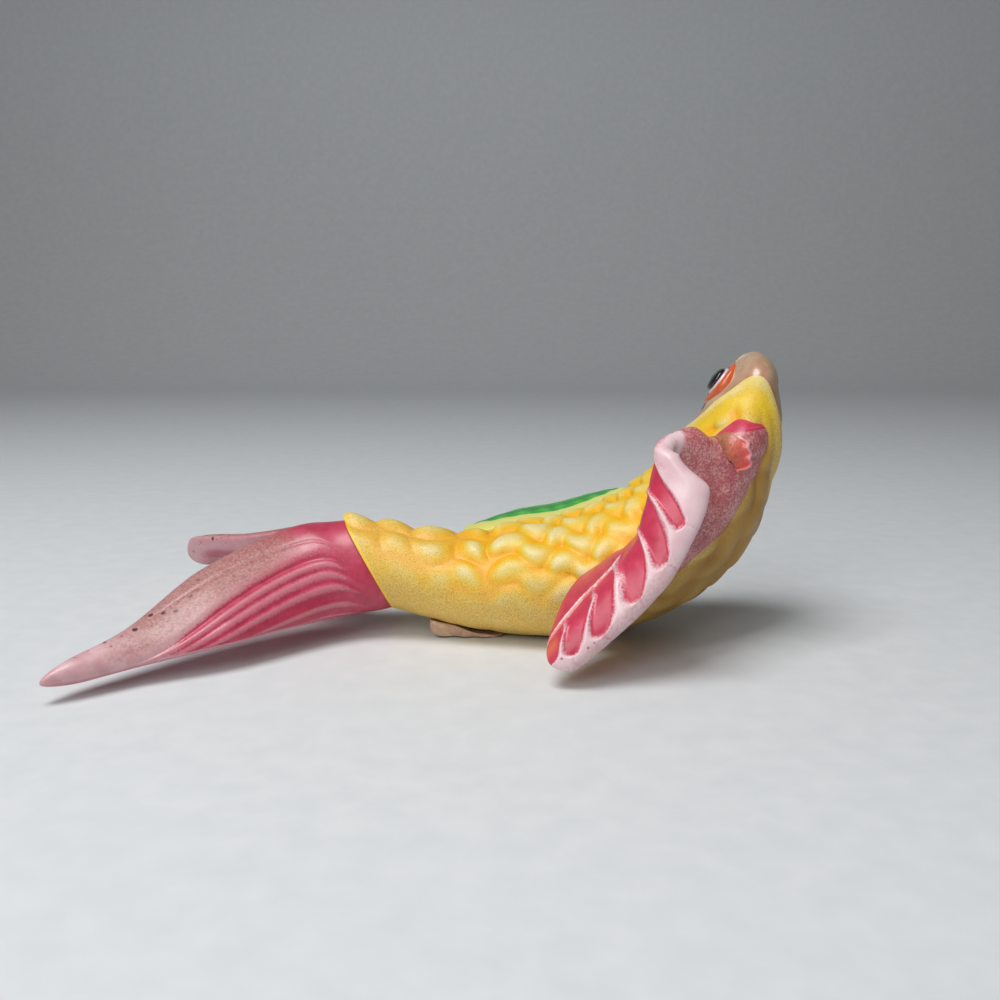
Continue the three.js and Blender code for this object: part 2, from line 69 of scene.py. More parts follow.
# Sections from the tail seat to the snout: along, lift off the wall, thickness and height, as shares.
STATIONS = np.array([
    (0.0, 0.123, 0.65, 0.53),
    (0.15, 0.067, 0.71, 0.63),
    (0.283, 0.027, 0.79, 0.76),
    (0.416, 0.004, 0.905, 0.89),
    (0.531, 0.004, 0.95, 0.965),
    (0.646, 0.033, 1.0, 1.0),
    (0.758, 0.107, 1.0, 0.985),
    (0.867, 0.267, 0.95, 0.9),
    (0.938, 0.504, 0.74, 0.78),
    (0.972, 0.682, 0.6, 0.66),
    (0.989, 0.83, 0.4, 0.52),
    (1.0, 0.935, 0.34, 0.46),
])
LAST_STATION = len(STATIONS) - 1


def ease(x, low, high):
    """0 below low, 1 above high and a smooth rise between them."""
    x = np.clip((x - low) / (high - low), 0, 1)
    return x * x * (3 - 2 * x)


def within(x, rise, fall):
    """1 between a soft rise and a soft fall, each given by where it begins and where it ends."""
    return ease(x, *rise) * (1 - ease(x, *fall))


def quarter_round(x, span):
    """A quarter of a circle that rises from 0 at x = 0 to 1 at x = span and stays there."""
    return np.sqrt(1 - np.clip(1 - x / span, 0, 1) ** 2)


def full_turn(count, start=0.0):
    """Angles all the way round, without the last one, which is the first again."""
    return np.linspace(start, start + 2 * np.pi, count, endpoint=False)


def smooth_run(stations, t):
    """A smooth curve through the stations, read at t from 0 to 1."""
    stations = np.asarray(stations, float)
    t = np.clip(t, 0, 1)
    ends = np.vstack([2 * stations[0] - stations[1], stations, 2 * stations[-1] - stations[-2]])
    place = t * (len(stations) - 1)
    leg = np.minimum(place.astype(int), len(stations) - 2)
    part = (place - leg)[..., None]
    a, b, c, d = (ends[leg + k] for k in range(4))
    legs = ((a, b), (b, c), (c, d))
    ab, bc, cd = (np.sqrt(np.linalg.norm(q - p, axis=-1, keepdims=True)) for p, q in legs)
    no_length = 1e-4
    bc = np.where(bc < no_length, 1, bc)
    ab = np.where(ab < no_length, bc, ab)
    cd = np.where(cd < no_length, bc, cd)
    start = ((b - a) / ab - (c - a) / (ab + bc) + (c - b) / bc) * bc
    end = ((c - b) / bc - (d - b) / (bc + cd) + (d - c) / cd) * bc
    square = 3 * (c - b) - 2 * start - end
    cube = 2 * (b - c) + start + end
    return b + part * (start + part * (square + part * cube))


def direction(stations, t):
    """Unit tangent of the smooth run."""
    step = 1e-4
    change = smooth_run(stations, t + step) - smooth_run(stations, t - step)
    return change / np.linalg.norm(change, axis=-1, keepdims=True)


share_along, share_lift, share_thick, share_tall = STATIONS.T
spine = np.stack([
    (share_along - ORIGIN_SHARE) * BODY_LENGTH,
    0 * share_along,
    share_thick * BODY_THICK / 2 - GROUND_DEPTH + share_lift * SNOUT_RISE,
], -1)
girth = np.stack([share_thick * BODY_THICK / 2, share_tall * BODY_TALL / 2, 0 * share_along], -1)
spine_t = np.linspace(0, 1, 801)
spine_steps = np.linalg.norm(np.diff(smooth_run(spine, spine_t), axis=0), axis=1)
spine_along = np.concatenate([[0], np.cumsum(spine_steps)])
SPINE_LENGTH = spine_along[-1]


def fish_section(along):
    """Middle, direction, front, half thickness, half height and dome of the section at a length along."""
    t = np.interp(along, spine_along, spine_t)
    onward = direction(spine, t)
    lean = TAIL_SEAT_LEAN * (1 - ease(t, 0, 2 / LAST_STATION))
    front = np.stack([-onward[..., 2], 0 * t, onward[..., 0]], -1) - np.tan(lean)[..., None] * onward
    size = smooth_run(girth, t)
    dome = quarter_round(1 - t, 1 / LAST_STATION)
    return smooth_run(spine, t), onward, front, size[..., 0], size[..., 1], dome


def fish_point(along, turn, grow=0.0):
    """A point on the fish; turn is 0 at the front and positive towards the back fin."""
    along, turn, grow = np.broadcast_arrays(*(np.asarray(value, float) for value in (along, turn, grow)))
    middle, _, front, thick, tall, dome = fish_section(along)
    point = middle + front * ((thick + grow) * dome * np.cos(turn))[..., None]
    point[..., 1] += (tall + grow) * dome * np.sin(turn)
    return point


WELD_DISTANCE = 1e-6
SHARP_EDGE = math.radians(60)


def clay_skin(name, rings, marks, closed_by_fans=True):
    """A closed skin over rings of points in millimetres; marks are values painted on its points."""
    rows, columns = rings.shape[:2]
    index = np.arange(rows * columns).reshape(rows, columns)
    after = np.roll(index, -1, axis=1)
    faces = np.stack([index[:-1], after[:-1], after[1:], index[1:]], -1).reshape(-1, 4).tolist()
    points = rings.reshape(-1, 3)
    values = {mark: np.asarray(value, float).reshape(-1) for mark, value in marks.items()}
    if closed_by_fans:
        first = np.stack([after[0], index[0], np.full(columns, rows * columns)], -1)
        last = np.stack([index[-1], after[-1], np.full(columns, rows * columns + 1)], -1)
        faces += first.tolist() + last.tolist()
        points = np.vstack([points, rings[0].mean(0), rings[-1].mean(0)])
        values = {mark: np.append(value, [value[:columns].mean(), value[-columns:].mean()])
                  for mark, value in values.items()}
    mesh = bpy.data.meshes.new(name)
    mesh.from_pydata((points * MM).tolist(), [], faces)
    for mark, value in values.items():
        mesh.attributes.new(mark, "FLOAT", "POINT").data.foreach_set("value", value)
    work = bmesh.new()
    work.from_mesh(mesh)
    bmesh.ops.remove_doubles(work, verts=work.verts, dist=WELD_DISTANCE)
    if work.calc_volume(signed=True) < 0:
        bmesh.ops.reverse_faces(work, faces=work.faces)
    work.to_mesh(mesh)
    work.free()
    mesh.shade_smooth()
    mesh.set_sharp_from_angle(angle=SHARP_EDGE)
    piece = bpy.data.objects.new(name, mesh)
    scene.collection.objects.link(piece)
    return piece


def set_on_fish(piece, node, finish):
    """Gives a piece its finish and its place on the fish."""
    piece.data.materials.clear()
    piece.data.materials.append(finish.material)
    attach(piece, "root")
    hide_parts(node)


def paint(red, green, blue):
    """A paint colour given by its screen values."""
    mixed = [((value / 255 + 0.055) / 1.055) ** 2.4 if value > 10 else value / 255 / 12.92
             for value in (red, green, blue)]
    return (*mixed, 1)


VARNISH_ROUGHNESS = 0.22


class Finish:
    """A painted and varnished surface, built up coat by coat."""

    def __init__(self, name, roughness, varnish):
        self.material = bpy.data.materials.new(name)
        self.material.use_nodes = True
        self.tree = self.material.node_tree
        self.shader = self.tree.nodes["Principled BSDF"]
        self.shader.inputs["Roughness"].default_value = roughness
        self.shader.inputs["Coat Weight"].default_value = varnish
        self.shader.inputs["Coat Roughness"].default_value = VARNISH_ROUGHNESS
        self.place = self.node("ShaderNodeTexCoord").outputs["Object"]

    def node(self, kind, inputs=None, **settings):
        """A node with its settings, and its inputs either linked or set."""
        made = self.tree.nodes.new(kind)
        for key, value in settings.items():
            setattr(made, key, value)
        for key, value in (inputs or {}).items():
            if isinstance(value, bpy.types.NodeSocket):
                self.tree.links.new(value, made.inputs[key])
            else:
                made.inputs[key].default_value = value
        return made

    def mark(self, name):
        """A value painted on the points of the mesh."""
        return self.node("ShaderNodeAttribute", attribute_name=name).outputs["Fac"]

    def grain(self, size, detail=2.0):
        """An even grain from 0 to 1, with spots about size millimetres across."""
        inputs = {"Vector": self.place, "Scale": 1 / (2 * size * MM), "Detail": detail}
        return self.node("ShaderNodeTexNoise", inputs).outputs["Fac"]

    def sum(self, one, two, share=1.0):
        """one plus a share of two."""
        inputs = {0: two, 1: share, 2: one}
        return self.node("ShaderNodeMath", inputs, operation="MULTIPLY_ADD").outputs[0]

    def times(self, one, two):
        """one times two."""
        return self.node("ShaderNodeMath", {0: one, 1: two}, operation="MULTIPLY").outputs[0]

    def uneven(self, value, size, share):
        """A value made uneven by a share of grain that goes up and down."""
        return self.sum(value, self.sum(-0.5, self.grain(size)), share)

    def rise(self, value, low, high, top=1.0):
        """0 where the value is below low, and top where it is above high."""
        inputs = {"Value": value, "From Min": low, "From Max": high, "To Max": top}
        return self.node("ShaderNodeMapRange", inputs, interpolation_type="SMOOTHSTEP").outputs["Result"]

    def blend(self, value, *stops):
        """A colour that changes over the stops (place, colour)."""
        ramp = self.node("ShaderNodeValToRGB", {"Fac": value})
        elements = ramp.color_ramp.elements
        for k, (place, colour) in enumerate(stops):
            element = elements[k] if k < len(elements) else elements.new(place)
            element.position = place
            element.color = colour
        return ramp.outputs["Color"]

    def over(self, under, colour, where):
        """A coat of colour over what is under it, where the mask says."""
        return self.node("ShaderNodeMix", {0: where, 6: under, 7: colour}, data_type="RGBA").outputs[2]

    def pits(self, under, colour, spacing, share, size):
        """Scattered dark specks: a share of spots set spacing millimetres apart."""
        spots = self.node("ShaderNodeTexVoronoi", {"Vector": self.place, "Scale": 1 / (spacing * MM)})
        lot = self.node("ShaderNodeSeparateColor", {0: spots.outputs["Color"]}).outputs[0]
        chosen = self.rise(lot, 1 - share, 1.01 - share)
        reach = size / spacing
        ragged = self.sum(spots.outputs["Distance"], self.grain(size), 0.5 * reach)
        outside = self.rise(ragged, 0.6 * reach, reach)
        inside = self.sum(1.0, outside, -1.0)
        return self.over(under, colour, self.times(inside, chosen))

    def done(self, colour, bumps):
        """Puts the colour and the bumps, each (height, depth in millimetres), on the shader."""
        self.tree.links.new(colour, self.shader.inputs["Base Color"])
        normal = None
        for height, depth in bumps:
            inputs = {"Height": height, "Distance": depth * MM, "Strength": 1.0}
            if normal:
                inputs["Normal"] = normal
            normal = self.node("ShaderNodeBump", inputs).outputs["Normal"]
        self.tree.links.new(normal, self.shader.inputs["Normal"])
        return self


SEAT_BOW = 2.7
SEAT_BOW_PACE = 0.86
GILL_SIDE = 26.5
GILL_THROAT = 6
GILL_TURN = math.radians(-77)


def seat_line(turn):
    """Where the scales begin at the tail; the line is drawn forward on both flanks."""
    return SEAT_BOW * np.sin(SEAT_BOW_PACE * np.abs(turn)) ** 2


def gill_edge(turn):
    """How far along the scales reach; they rise in a round arch at the throat."""
    facing = np.maximum(0, np.cos(turn - GILL_TURN))
    arch = 0.6 * facing ** 1.5 + 0.4 * np.sin(np.pi / 2 * facing ** 2.2)
    return SPINE_LENGTH - (GILL_SIDE + (GILL_THROAT - GILL_SIDE) * arch)


FIRST_SCALES = 2.8
SCALE_WIDTH = 9.8
SCALE_RELIEF = 1.9
ROWS_IN_LINE = 4
# Step from row to row, bow of a scale's edge, and reach of a scale towards the head in steps.
LINE_ROW = (9.3, 0.8, 0.58)
STAGGERED_ROW = (7.6, 3.0, 1.45)
TAIL_REACH = 0.5
CREASE_SHARPNESS = 7
SCALE_SEED = 5


def scale_height(along, turn):
    """Height of the scales, from 0 in the creases to about 1 on the crests."""
    by_hand = np.random.default_rng(SCALE_SEED)
    # The rows are set by eye and wander a little.
    drift = 0.7 * np.sin(0.13 * along + 2 * turn) + 0.5 * np.sin(0.31 * along - 3 * turn + 1)
    crests = np.ones(np.broadcast(along, turn).shape)
    place = FIRST_SCALES
    row = 0
    while place < SPINE_LENGTH:
        _, _, _, thick, tall, _ = fish_section(np.array(place))
        count = int(np.pi * (thick + tall) / SCALE_WIDTH)
        # Every scale is pressed by hand, so each has a depth and a place of its own.
        depths = by_hand.uniform(0.75, 1.1, count)
        shifts = by_hand.uniform(-0.8, 0.8, count)
        in_line = row < ROWS_IN_LINE
        step, bow, head_reach = LINE_ROW if in_line else STAGGERED_ROW
        staggered = 0 if in_line else 0.5 * (row % 2)
        column = turn * count / (2 * np.pi) + staggered + 0.12 * np.sin(0.4 * along)
        scale = np.round(column).astype(int)
        aside = 2 * (column - scale)
        # A scale's edge is a bow towards the tail. Staggered scales rise steeply there and fall slowly.
        ahead = (along + drift + shifts[scale % count] - place - bow * aside ** 2) / step
        ahead = np.where(ahead < 0, ahead / TAIL_REACH, ahead / head_reach)
        plump = np.maximum(0, 1 - ahead ** 2) * (0.5 + 0.5 * np.cos(np.pi * aside)) ** 0.5
        crests = crests + np.exp(CREASE_SHARPNESS * depths[scale % count] * plump) - 1
        place += step
        row += 1
    return np.log(crests) / CREASE_SHARPNESS


rows, columns = 310, 288
turn = full_turn(columns, -np.pi)[None, :]
start, edge = seat_line(turn), gill_edge(turn)
along = start + np.linspace(0, 1, rows)[:, None] * (edge - start)
crest = scale_height(along, turn)
from_seat, to_edge = along - start, edge - along
off_seat = ease(from_seat, 0, 4)

# The gill edge is a low collar with a hollow behind it; the scales start behind that.
COLLAR = 6.5
COLLAR_RELIEF = 0.75
COLLAR_HOLLOW = 0.25
near_collar = ease(-to_edge, -COLLAR - 8, -COLLAR)
collar = 1 - ease(to_edge, 1.5, COLLAR)

# The scales are deepest on the ridge and fade out down both flanks, further down near the breast.
smooth_from = np.radians(np.interp(along, (0, 25, 50, 75), (22, 46, 62, 105)))
past_smooth = np.abs(turn) - smooth_from
behind_breast = 1 - ease(along, 74, 92)
smooth = ease(past_smooth, np.radians(-15), np.radians(40)) * behind_breast
plain = ease(past_smooth, np.radians(5), np.radians(65)) * behind_breast
on_ridge = within(turn, (-0.35, 0.1), (0.6, 0.9)) * (1 - 0.5 * ease(along, 30, 60))

SKIN_LEVEL = 0.65
SEAT_RELIEF = 0.2
relief = SCALE_RELIEF * (1 + 0.6 * on_ridge) * (crest - SKIN_LEVEL) * (1 - 0.85 * smooth)
relief = relief * (1 - near_collar) * ease(from_seat, -1.5, 1.5)
relief = relief + near_collar * (COLLAR_RELIEF * collar - COLLAR_HOLLOW) + SEAT_RELIEF * (1 - off_seat)

# Both ends are rounded over and turned in.
LIP = 0.9
GILL_TURNED_IN = 2.8
TAIL_TURNED_IN = 4.5
lip_turn = np.linspace(0, np.pi / 2, 7)[1:, None]
rounded_over = LIP * (np.cos(lip_turn) - 1)
gill_lip = np.vstack([rounded_over, [[-GILL_TURNED_IN]]])
tail_lip = np.vstack([[[-TAIL_TURNED_IN]], rounded_over[::-1]])
ring_along = np.vstack([0 * tail_lip + start, along, 0 * gill_lip + edge])
ring_relief = np.vstack([relief[:1] + tail_lip, relief, relief[-1:] + gill_lip])
body_rings = fish_point(ring_along, turn, ring_relief)
body_rings[..., 2] = np.maximum(body_rings[..., 2], 0)

# Where the paints go. A smooth pale band runs along the foot of the back fin.
PLAIN_TONE = 0.66
FIN_BAND = math.radians(24)
crest_tone = crest * (1 - plain) + PLAIN_TONE * plain
crest_tone = crest_tone * (1 - near_collar) + (0.5 + 0.35 * collar) * near_collar
crest_tone = crest_tone * off_seat + PLAIN_TONE * (1 - off_seat)
at_throat = near_collar * ease(-np.abs(turn - GILL_TURN), -1.1, -0.4)
# The lower flanks and the tail end get a paler buff: partly dust, partly painted light from the table
# below.
dust_and_bounce_light = ease(np.abs(turn + 0.12), np.radians(32), np.radians(105)) * (0.75 + 0.25 * ease(along, 60, 100))
dust_and_bounce_light = np.maximum(dust_and_bounce_light * (1 - 0.8 * at_throat), 0.6 * (1 - ease(along, 12, 42)))
# The underside of the breast is painted darker brown, most in the creases: partly soot, partly painted
# shade.
soot_and_shade = (1.3 - 0.6 * crest) * ease(along, 62, 88) * ease(np.abs(turn), np.radians(84), np.radians(125))
band = (1 - ease(np.abs(turn - FIN_BAND), 0.06, 0.18)) * within(along, (22, 32), (84, 94))
marks = {
    "crest": crest_tone,
    "dust_and_bounce_light": dust_and_bounce_light,
    "soot_and_shade": soot_and_shade * (1 - near_collar),
    "lemon": near_collar * (1 - collar),
    # The lip at the tail seat gets a painted highlight.
    "rim": 1 - ease(from_seat, 0.5, 1.4),
    "band": band,
}
lip_rows = ((len(tail_lip), len(gill_lip)), (0, 0))
marks = {mark: np.pad(value, lip_rows, "edge") for mark, value in marks.items()}
marks["bare"] = ease(-body_rings[..., 2], -0.25, -0.02)
body = clay_skin("fish_body", body_rings, marks)

# The hollow and the nail hole are cut from the solid skin.
WALL = 5
NAIL_HOLE_RADIUS = 4.5
NAIL_HOLE_UP = 11
NAIL_HOLE_BACK = 2
NAIL_HOLE_REACH = (-5, 14)
HOLLOW_SHORT = 6
hollow_turn = full_turn(48, -np.pi)[None, :]
hollow_end = gill_edge(hollow_turn) - WALL - HOLLOW_SHORT
hollow_along = WALL + np.linspace(0, 1, 40)[:, None] * (hollow_end - WALL)
hollow = clay_skin("hollow", fish_point(hollow_along, hollow_turn, -WALL), {})
hole_turn = full_turn(48)
hole_ring = np.stack([NAIL_HOLE_RADIUS * np.cos(hole_turn) - NAIL_HOLE_BACK,
                      NAIL_HOLE_RADIUS * np.sin(hole_turn) + NAIL_HOLE_UP, 0 * hole_turn], -1)
hole = clay_skin("nail_hole", np.stack([hole_ring + (0, 0, z) for z in NAIL_HOLE_REACH]), {})
for cutter in (hollow, hole):
    cut = body.modifiers.new("cut", "BOOLEAN")
    cut.operation = "DIFFERENCE"
    cut.solver = "MANIFOLD"
    cut.object = cutter
body_cut = bpy.data.meshes.new_from_object(body.evaluated_get(bpy.context.evaluated_depsgraph_get()))
body.modifiers.clear()
body.data = body_cut
for cutter in (hollow, hole):
    bpy.data.objects.remove(cutter)

CREASE_ORANGE = paint(238, 174, 6)
SCALE_YELLOW = paint(234, 186, 28)
SCALE_STRAW = paint(226, 198, 86)
CREST_CREAM = paint(228, 212, 146)
GILL_LEMON = paint(232, 196, 44)
BAND_YELLOW = paint(240, 222, 110)
FLANK_DUST_AND_BOUNCE_LIGHT = paint(244, 206, 116)
BREAST_SOOT_AND_SHADE = paint(150, 108, 38)
BROWN_DUST = paint(172, 124, 50)
SEAT_LIP_HIGHLIGHT = paint(246, 204, 52)
BODY_PIT = paint(58, 40, 22)
BARE_CLAY = paint(186, 148, 118)
scales = Finish("scale_paint", roughness=0.5, varnish=0.08)
colour = scales.blend(scales.uneven(scales.mark("crest"), 2.5, 0.4), (0.3, CREASE_ORANGE),
                      (0.52, SCALE_YELLOW), (0.72, SCALE_STRAW), (0.96, CREST_CREAM))
strokes = scales.uneven(scales.mark("lemon"), 2, 1.2)
colour = scales.over(colour, GILL_LEMON, scales.rise(strokes, 0.35, 0.75, 0.85))
colour = scales.over(colour, BAND_YELLOW, scales.rise(scales.mark("band"), 0.2, 0.9, 0.8))
# Paler buff on the lower flanks: dust, with painted light from the table below.
colour = scales.over(colour, FLANK_DUST_AND_BOUNCE_LIGHT, scales.rise(scales.mark("dust_and_bounce_light"), 0.1, 1.1, 0.75))
# Darker brown under the breast: soot and painted shade.
colour = scales.over(colour, BREAST_SOOT_AND_SHADE, scales.rise(scales.mark("soot_and_shade"), 0.0, 1.0, 0.8))
dusting = scales.sum(scales.grain(0.16, 1.0), scales.mark("dust_and_bounce_light"), 0.16)
colour = scales.over(colour, BROWN_DUST, scales.rise(dusting, 0.54, 0.78, 0.55))
# A painted highlight of bright yellow along the rounded lip where the scales meet the tail.
colour = scales.over(colour, SEAT_LIP_HIGHLIGHT, scales.rise(scales.mark("rim"), 0.2, 0.8, 0.8))
colour = scales.pits(colour, BODY_PIT, spacing=14, share=0.12, size=1.3)
colour = scales.over(colour, BARE_CLAY, scales.mark("bare"))
scales.done(colour, [(scales.grain(0.3), 0.04), (scales.grain(3), 0.2)])
set_on_fish(body, "body_shell", scales)

# Head. The face is the same clay left smooth, set inside the raised edge of the scales. It is painted
# beige with a reddish blush along the gill edge, and its gloss varnish is thicker than on the body.
FACE_INSET = 0.5
FACE_UNDER = 8
MOUTH_WIDTH = 9
MOUTH_GAP = 1.6
MOUTH_DEPTH = 3
LIP_RELIEF = 0.35
BLUSH_REACH = 8
EYE_PLACE = 10.5
EYE_TURN = math.radians(14)
EYE_CORNER_BACK = 8.2
EYE_CORNER_TURN = 0.12
rows, columns = 200, 180
turn = full_turn(columns, -np.pi)[None, :]
start = gill_edge(turn) - FACE_UNDER
share = np.sin(np.linspace(0, np.pi / 2, rows))[:, None]
along = start + share * (SPINE_LENGTH - start)
head_rings = fish_point(along, turn, -FACE_INSET)
snout = fish_point(SPINE_LENGTH, 0)
mouth_side = (head_rings[..., 0] - snout[0] + MOUTH_WIDTH / 3) / (MOUTH_WIDTH / 2)
mouth_off = np.abs(head_rings[..., 1] - MOUTH_GAP) / MOUTH_GAP
on_top = ease(head_rings[..., 2], snout[2] - 9, snout[2] - 4)
lips = (1 - ease(np.abs(mouth_side), 0.8, 1.25)) * on_top
slit = lips * (1 - ease(mouth_off, 0.15, 0.75))
rolled_lip = lips * within(mouth_off, (0.3, 0.9), (1.0, 2.2))
to_gill = along - gill_edge(turn)
behind = ease(np.sin(turn + 0.2) * 0.3 - np.cos(turn), -0.1, 0.8)
blush = (1 - ease(to_gill, 1.0, BLUSH_REACH)) * (0.45 + 0.55 * behind)
# A dark brown spot at the lower end of the eye is painted shade under the raised pellets of the eye.
corner_along = SPINE_LENGTH - EYE_PLACE - EYE_CORNER_BACK
eye_corner = fish_point(corner_along, EYE_TURN - EYE_CORNER_TURN, -FACE_INSET)
shade_under_eye = 1 - ease(np.linalg.norm(head_rings - eye_corner, axis=-1), 0.9, 2.2)
head_rings[..., 2] += LIP_RELIEF * rolled_lip - 0.6 * MOUTH_DEPTH * slit
head = clay_skin("fish_face", head_rings, {"blush": blush, "slit": slit, "shade_under_eye": shade_under_eye})

FACE_BEIGE = paint(170, 136, 108)
FACE_PALE = paint(196, 166, 138)
GILL_BLUSH = paint(176, 96, 74)
MOUTH_RED = paint(112, 64, 54)
EYE_FOOT_SHADE = paint(62, 34, 30)
FACE_PIT = paint(96, 66, 52)
face = Finish("face_paint", roughness=0.3, varnish=0.5)
mottle = face.sum(face.grain(2.5), face.grain(0.6), 0.35)
colour = face.blend(mottle, (0.45, FACE_BEIGE), (0.85, FACE_PALE))
reddened = face.uneven(face.mark("blush"), 1.2, 0.5)
colour = face.over(colour, GILL_BLUSH, face.rise(reddened, 0.15, 0.8, 0.8))
colour = face.over(colour, MOUTH_RED, face.mark("slit"))
# Painted shade at the lower end of the eye.
colour = face.over(colour, EYE_FOOT_SHADE, face.mark("shade_under_eye"))
colour = face.pits(colour, FACE_PIT, spacing=6, share=0.08, size=0.4)
face.done(colour, [(face.grain(0.5), 0.03), (face.grain(4), 0.15)])
set_on_fish(head, "head", face)

# Eye. Three pellets of clay pressed on one another: an orange ring, a white disc that stands out of it,
# and a black pupil on top. Each is painted by itself and varnished to a gloss.
EYE_WHITE_RADIUS = 4.5
EYE_WHITE_HEIGHT = 1.4
EYE_RING_WIDTH = 2.6
EYE_RING_HEIGHT = 0.9
PUPIL_RADIUS = 3.7
PUPIL_HEIGHT = 1.6
EYE_SINK = 4
SEAT_GAP = 0.3
ON_AXIS = 0.05
eye_along = SPINE_LENGTH - EYE_PLACE
eye_middle = fish_point(eye_along, EYE_TURN, -FACE_INSET)
eye_onward = fish_point(eye_along + 1.5, EYE_TURN, -FACE_INSET) - eye_middle
eye_round = fish_point(eye_along, EYE_TURN + 0.01, -FACE_INSET) - eye_middle
eye_out = np.cross(eye_onward, eye_round)
eye_out /= np.linalg.norm(eye_out)
eye_across = eye_round / np.linalg.norm(eye_round)
eye_up = np.cross(eye_out, eye_across)


def eye_pellet(name, profile, wobble):
    """A pellet turned from a profile (radius, height) on the eye's axis, slightly out of round."""
    profile = np.asarray(profile, float)
    legs = len(profile) - 1
    t = np.linspace(0, 1, 8 * legs + 1)
    straight = np.stack([np.interp(t * legs, np.arange(legs + 1), column) for column in profile.T], -1)
    soft = 0.35 * straight + 0.65 * smooth_run(profile, t)
    soft[[0, -1]] = profile[[0, -1]]
    around = full_turn(72)
    radius = soft[:, :1] * (1 + wobble * np.sin(2 * around + 1) + 0.5 * wobble * np.sin(5 * around))
    points = (eye_middle + eye_out * soft[:, 1, None, None]
              + eye_across * (radius * np.cos(around))[..., None]
              + eye_up * (radius * np.sin(around))[..., None])
    rim = ease(soft[:, :1], 0, profile[:, 0].max()) + 0 * radius
    inside = 1 - ease(soft[:, :1] - profile[0, 0], 0, 0.7) + 0 * radius
    return clay_skin(name, points, {"rim": rim, "inside": inside})


ring_hole = EYE_WHITE_RADIUS + SEAT_GAP
ring_radius = ring_hole + EYE_RING_WIDTH
ring = eye_pellet("eye_ring_pellet", [
    (ring_hole, -EYE_SINK),
    (ring_radius, -EYE_SINK),
    (ring_radius, 0.3 * EYE_RING_HEIGHT),
    (ring_radius - 0.3 * EYE_RING_WIDTH, 0.85 * EYE_RING_HEIGHT),
    (ring_radius - 0.6 * EYE_RING_WIDTH, EYE_RING_HEIGHT),
    (ring_hole, 0.85 * EYE_RING_HEIGHT),
    (ring_hole, -EYE_SINK),
], wobble=0.012)
white = eye_pellet("eye_white_pellet", [
    (ON_AXIS, -EYE_SINK),
    (EYE_WHITE_RADIUS, -EYE_SINK),
    (EYE_WHITE_RADIUS, 0.7 * EYE_WHITE_HEIGHT),
    (0.92 * EYE_WHITE_RADIUS, 0.96 * EYE_WHITE_HEIGHT),
    (0.6 * EYE_WHITE_RADIUS, EYE_WHITE_HEIGHT),
    (ON_AXIS, EYE_WHITE_HEIGHT),
], wobble=0.01)
pupil = eye_pellet("eye_pupil_pellet", [
    (ON_AXIS, EYE_WHITE_HEIGHT),
    (PUPIL_RADIUS, EYE_WHITE_HEIGHT),
    (PUPIL_RADIUS, EYE_WHITE_HEIGHT + 0.45 * PUPIL_HEIGHT),
    (0.7 * PUPIL_RADIUS, EYE_WHITE_HEIGHT + 0.9 * PUPIL_HEIGHT),
    (ON_AXIS, EYE_WHITE_HEIGHT + SEAT_GAP + PUPIL_HEIGHT),
], wobble=0.015)


def eye_finish(name, roughness, colour, edge_colour, inner_colour):
    """Gloss paint that is a little uneven, with colours of their own at the rim and the inner edge."""
    gloss = Finish(name, roughness, varnish=0.8)
    coat = gloss.blend(gloss.grain(1.0), (0.35, colour), (0.75, edge_colour))
    worn_rim = gloss.sum(gloss.mark("rim"), gloss.grain(0.5), 0.2)
    coat = gloss.over(coat, edge_colour, gloss.rise(worn_rim, 0.95, 1.15, 0.6))
    coat = gloss.over(coat, inner_colour, gloss.mark("inside"))
    return gloss.done(coat, [(gloss.grain(0.8), 0.04)])


RING_ORANGE = paint(226, 112, 40)
RING_EDGE = paint(196, 78, 30)
RING_INSIDE = paint(112, 18, 22)
EYE_WHITE = paint(236, 226, 228)
EYE_WHITE_EDGE = paint(216, 188, 194)
PUPIL_BLACK = paint(14, 14, 16)
PUPIL_EDGE = paint(24, 22, 24)
ring_paint = eye_finish("eye_orange", 0.3, RING_ORANGE, RING_EDGE, RING_INSIDE)
white_paint = eye_finish("eye_white", 0.25, EYE_WHITE, EYE_WHITE_EDGE, EYE_WHITE)
pupil_paint = eye_finish("eye_black", 0.15, PUPIL_BLACK, PUPIL_EDGE, PUPIL_BLACK)
set_on_fish(ring, "eye_ring", ring_paint)
set_on_fish(white, "eye_white", white_paint)
set_on_fish(pupil, "eye_pupil", pupil_paint)

# Tail. Two leaves of clay luted to the sloping end of the body and to each other. Their faces are combed
# with long rays, deep pink in the grooves and next to the body, dusty pale on the rays, crests and tips.
TAIL_LENGTH = 72
TAIL_SPREAD = 60
TAIL_STEP = 1.6
LOBE_WIDTH = 30
LOBE_SWELL = 8
# Stations after the seat: back, out, slope of the width, and the swell of the front and the back.
LOBE_STATIONS = [
    (0.25, 0.15, (0.45, 0.46, -0.74), 1, 0.06),
    (0.53, 0.46, (0.51, 0.64, -0.57), 0.56, 0.31),
    (0.78, 0.73, (0.5, 0.7, -0.5), 0.44, 0.31),
]
# Each leaf's fall and width at those stations and at its tip, the rise of the tip and its slope.
LOWER_LEAF = ((0.1, 0.36, 0.8, 1), (1, 0.87, 0.4, 0.15), 5.5, (0.5, 0.7, -0.5))
UPPER_LEAF = ((0.2, 0.32, 0.5, 1), (1, 0.8, 0.65, 0.33), 8, (0.3, 0.3, -0.9))
TIP_SWELL = (0.44, 0.31)
RAY_RELIEF = 0.6
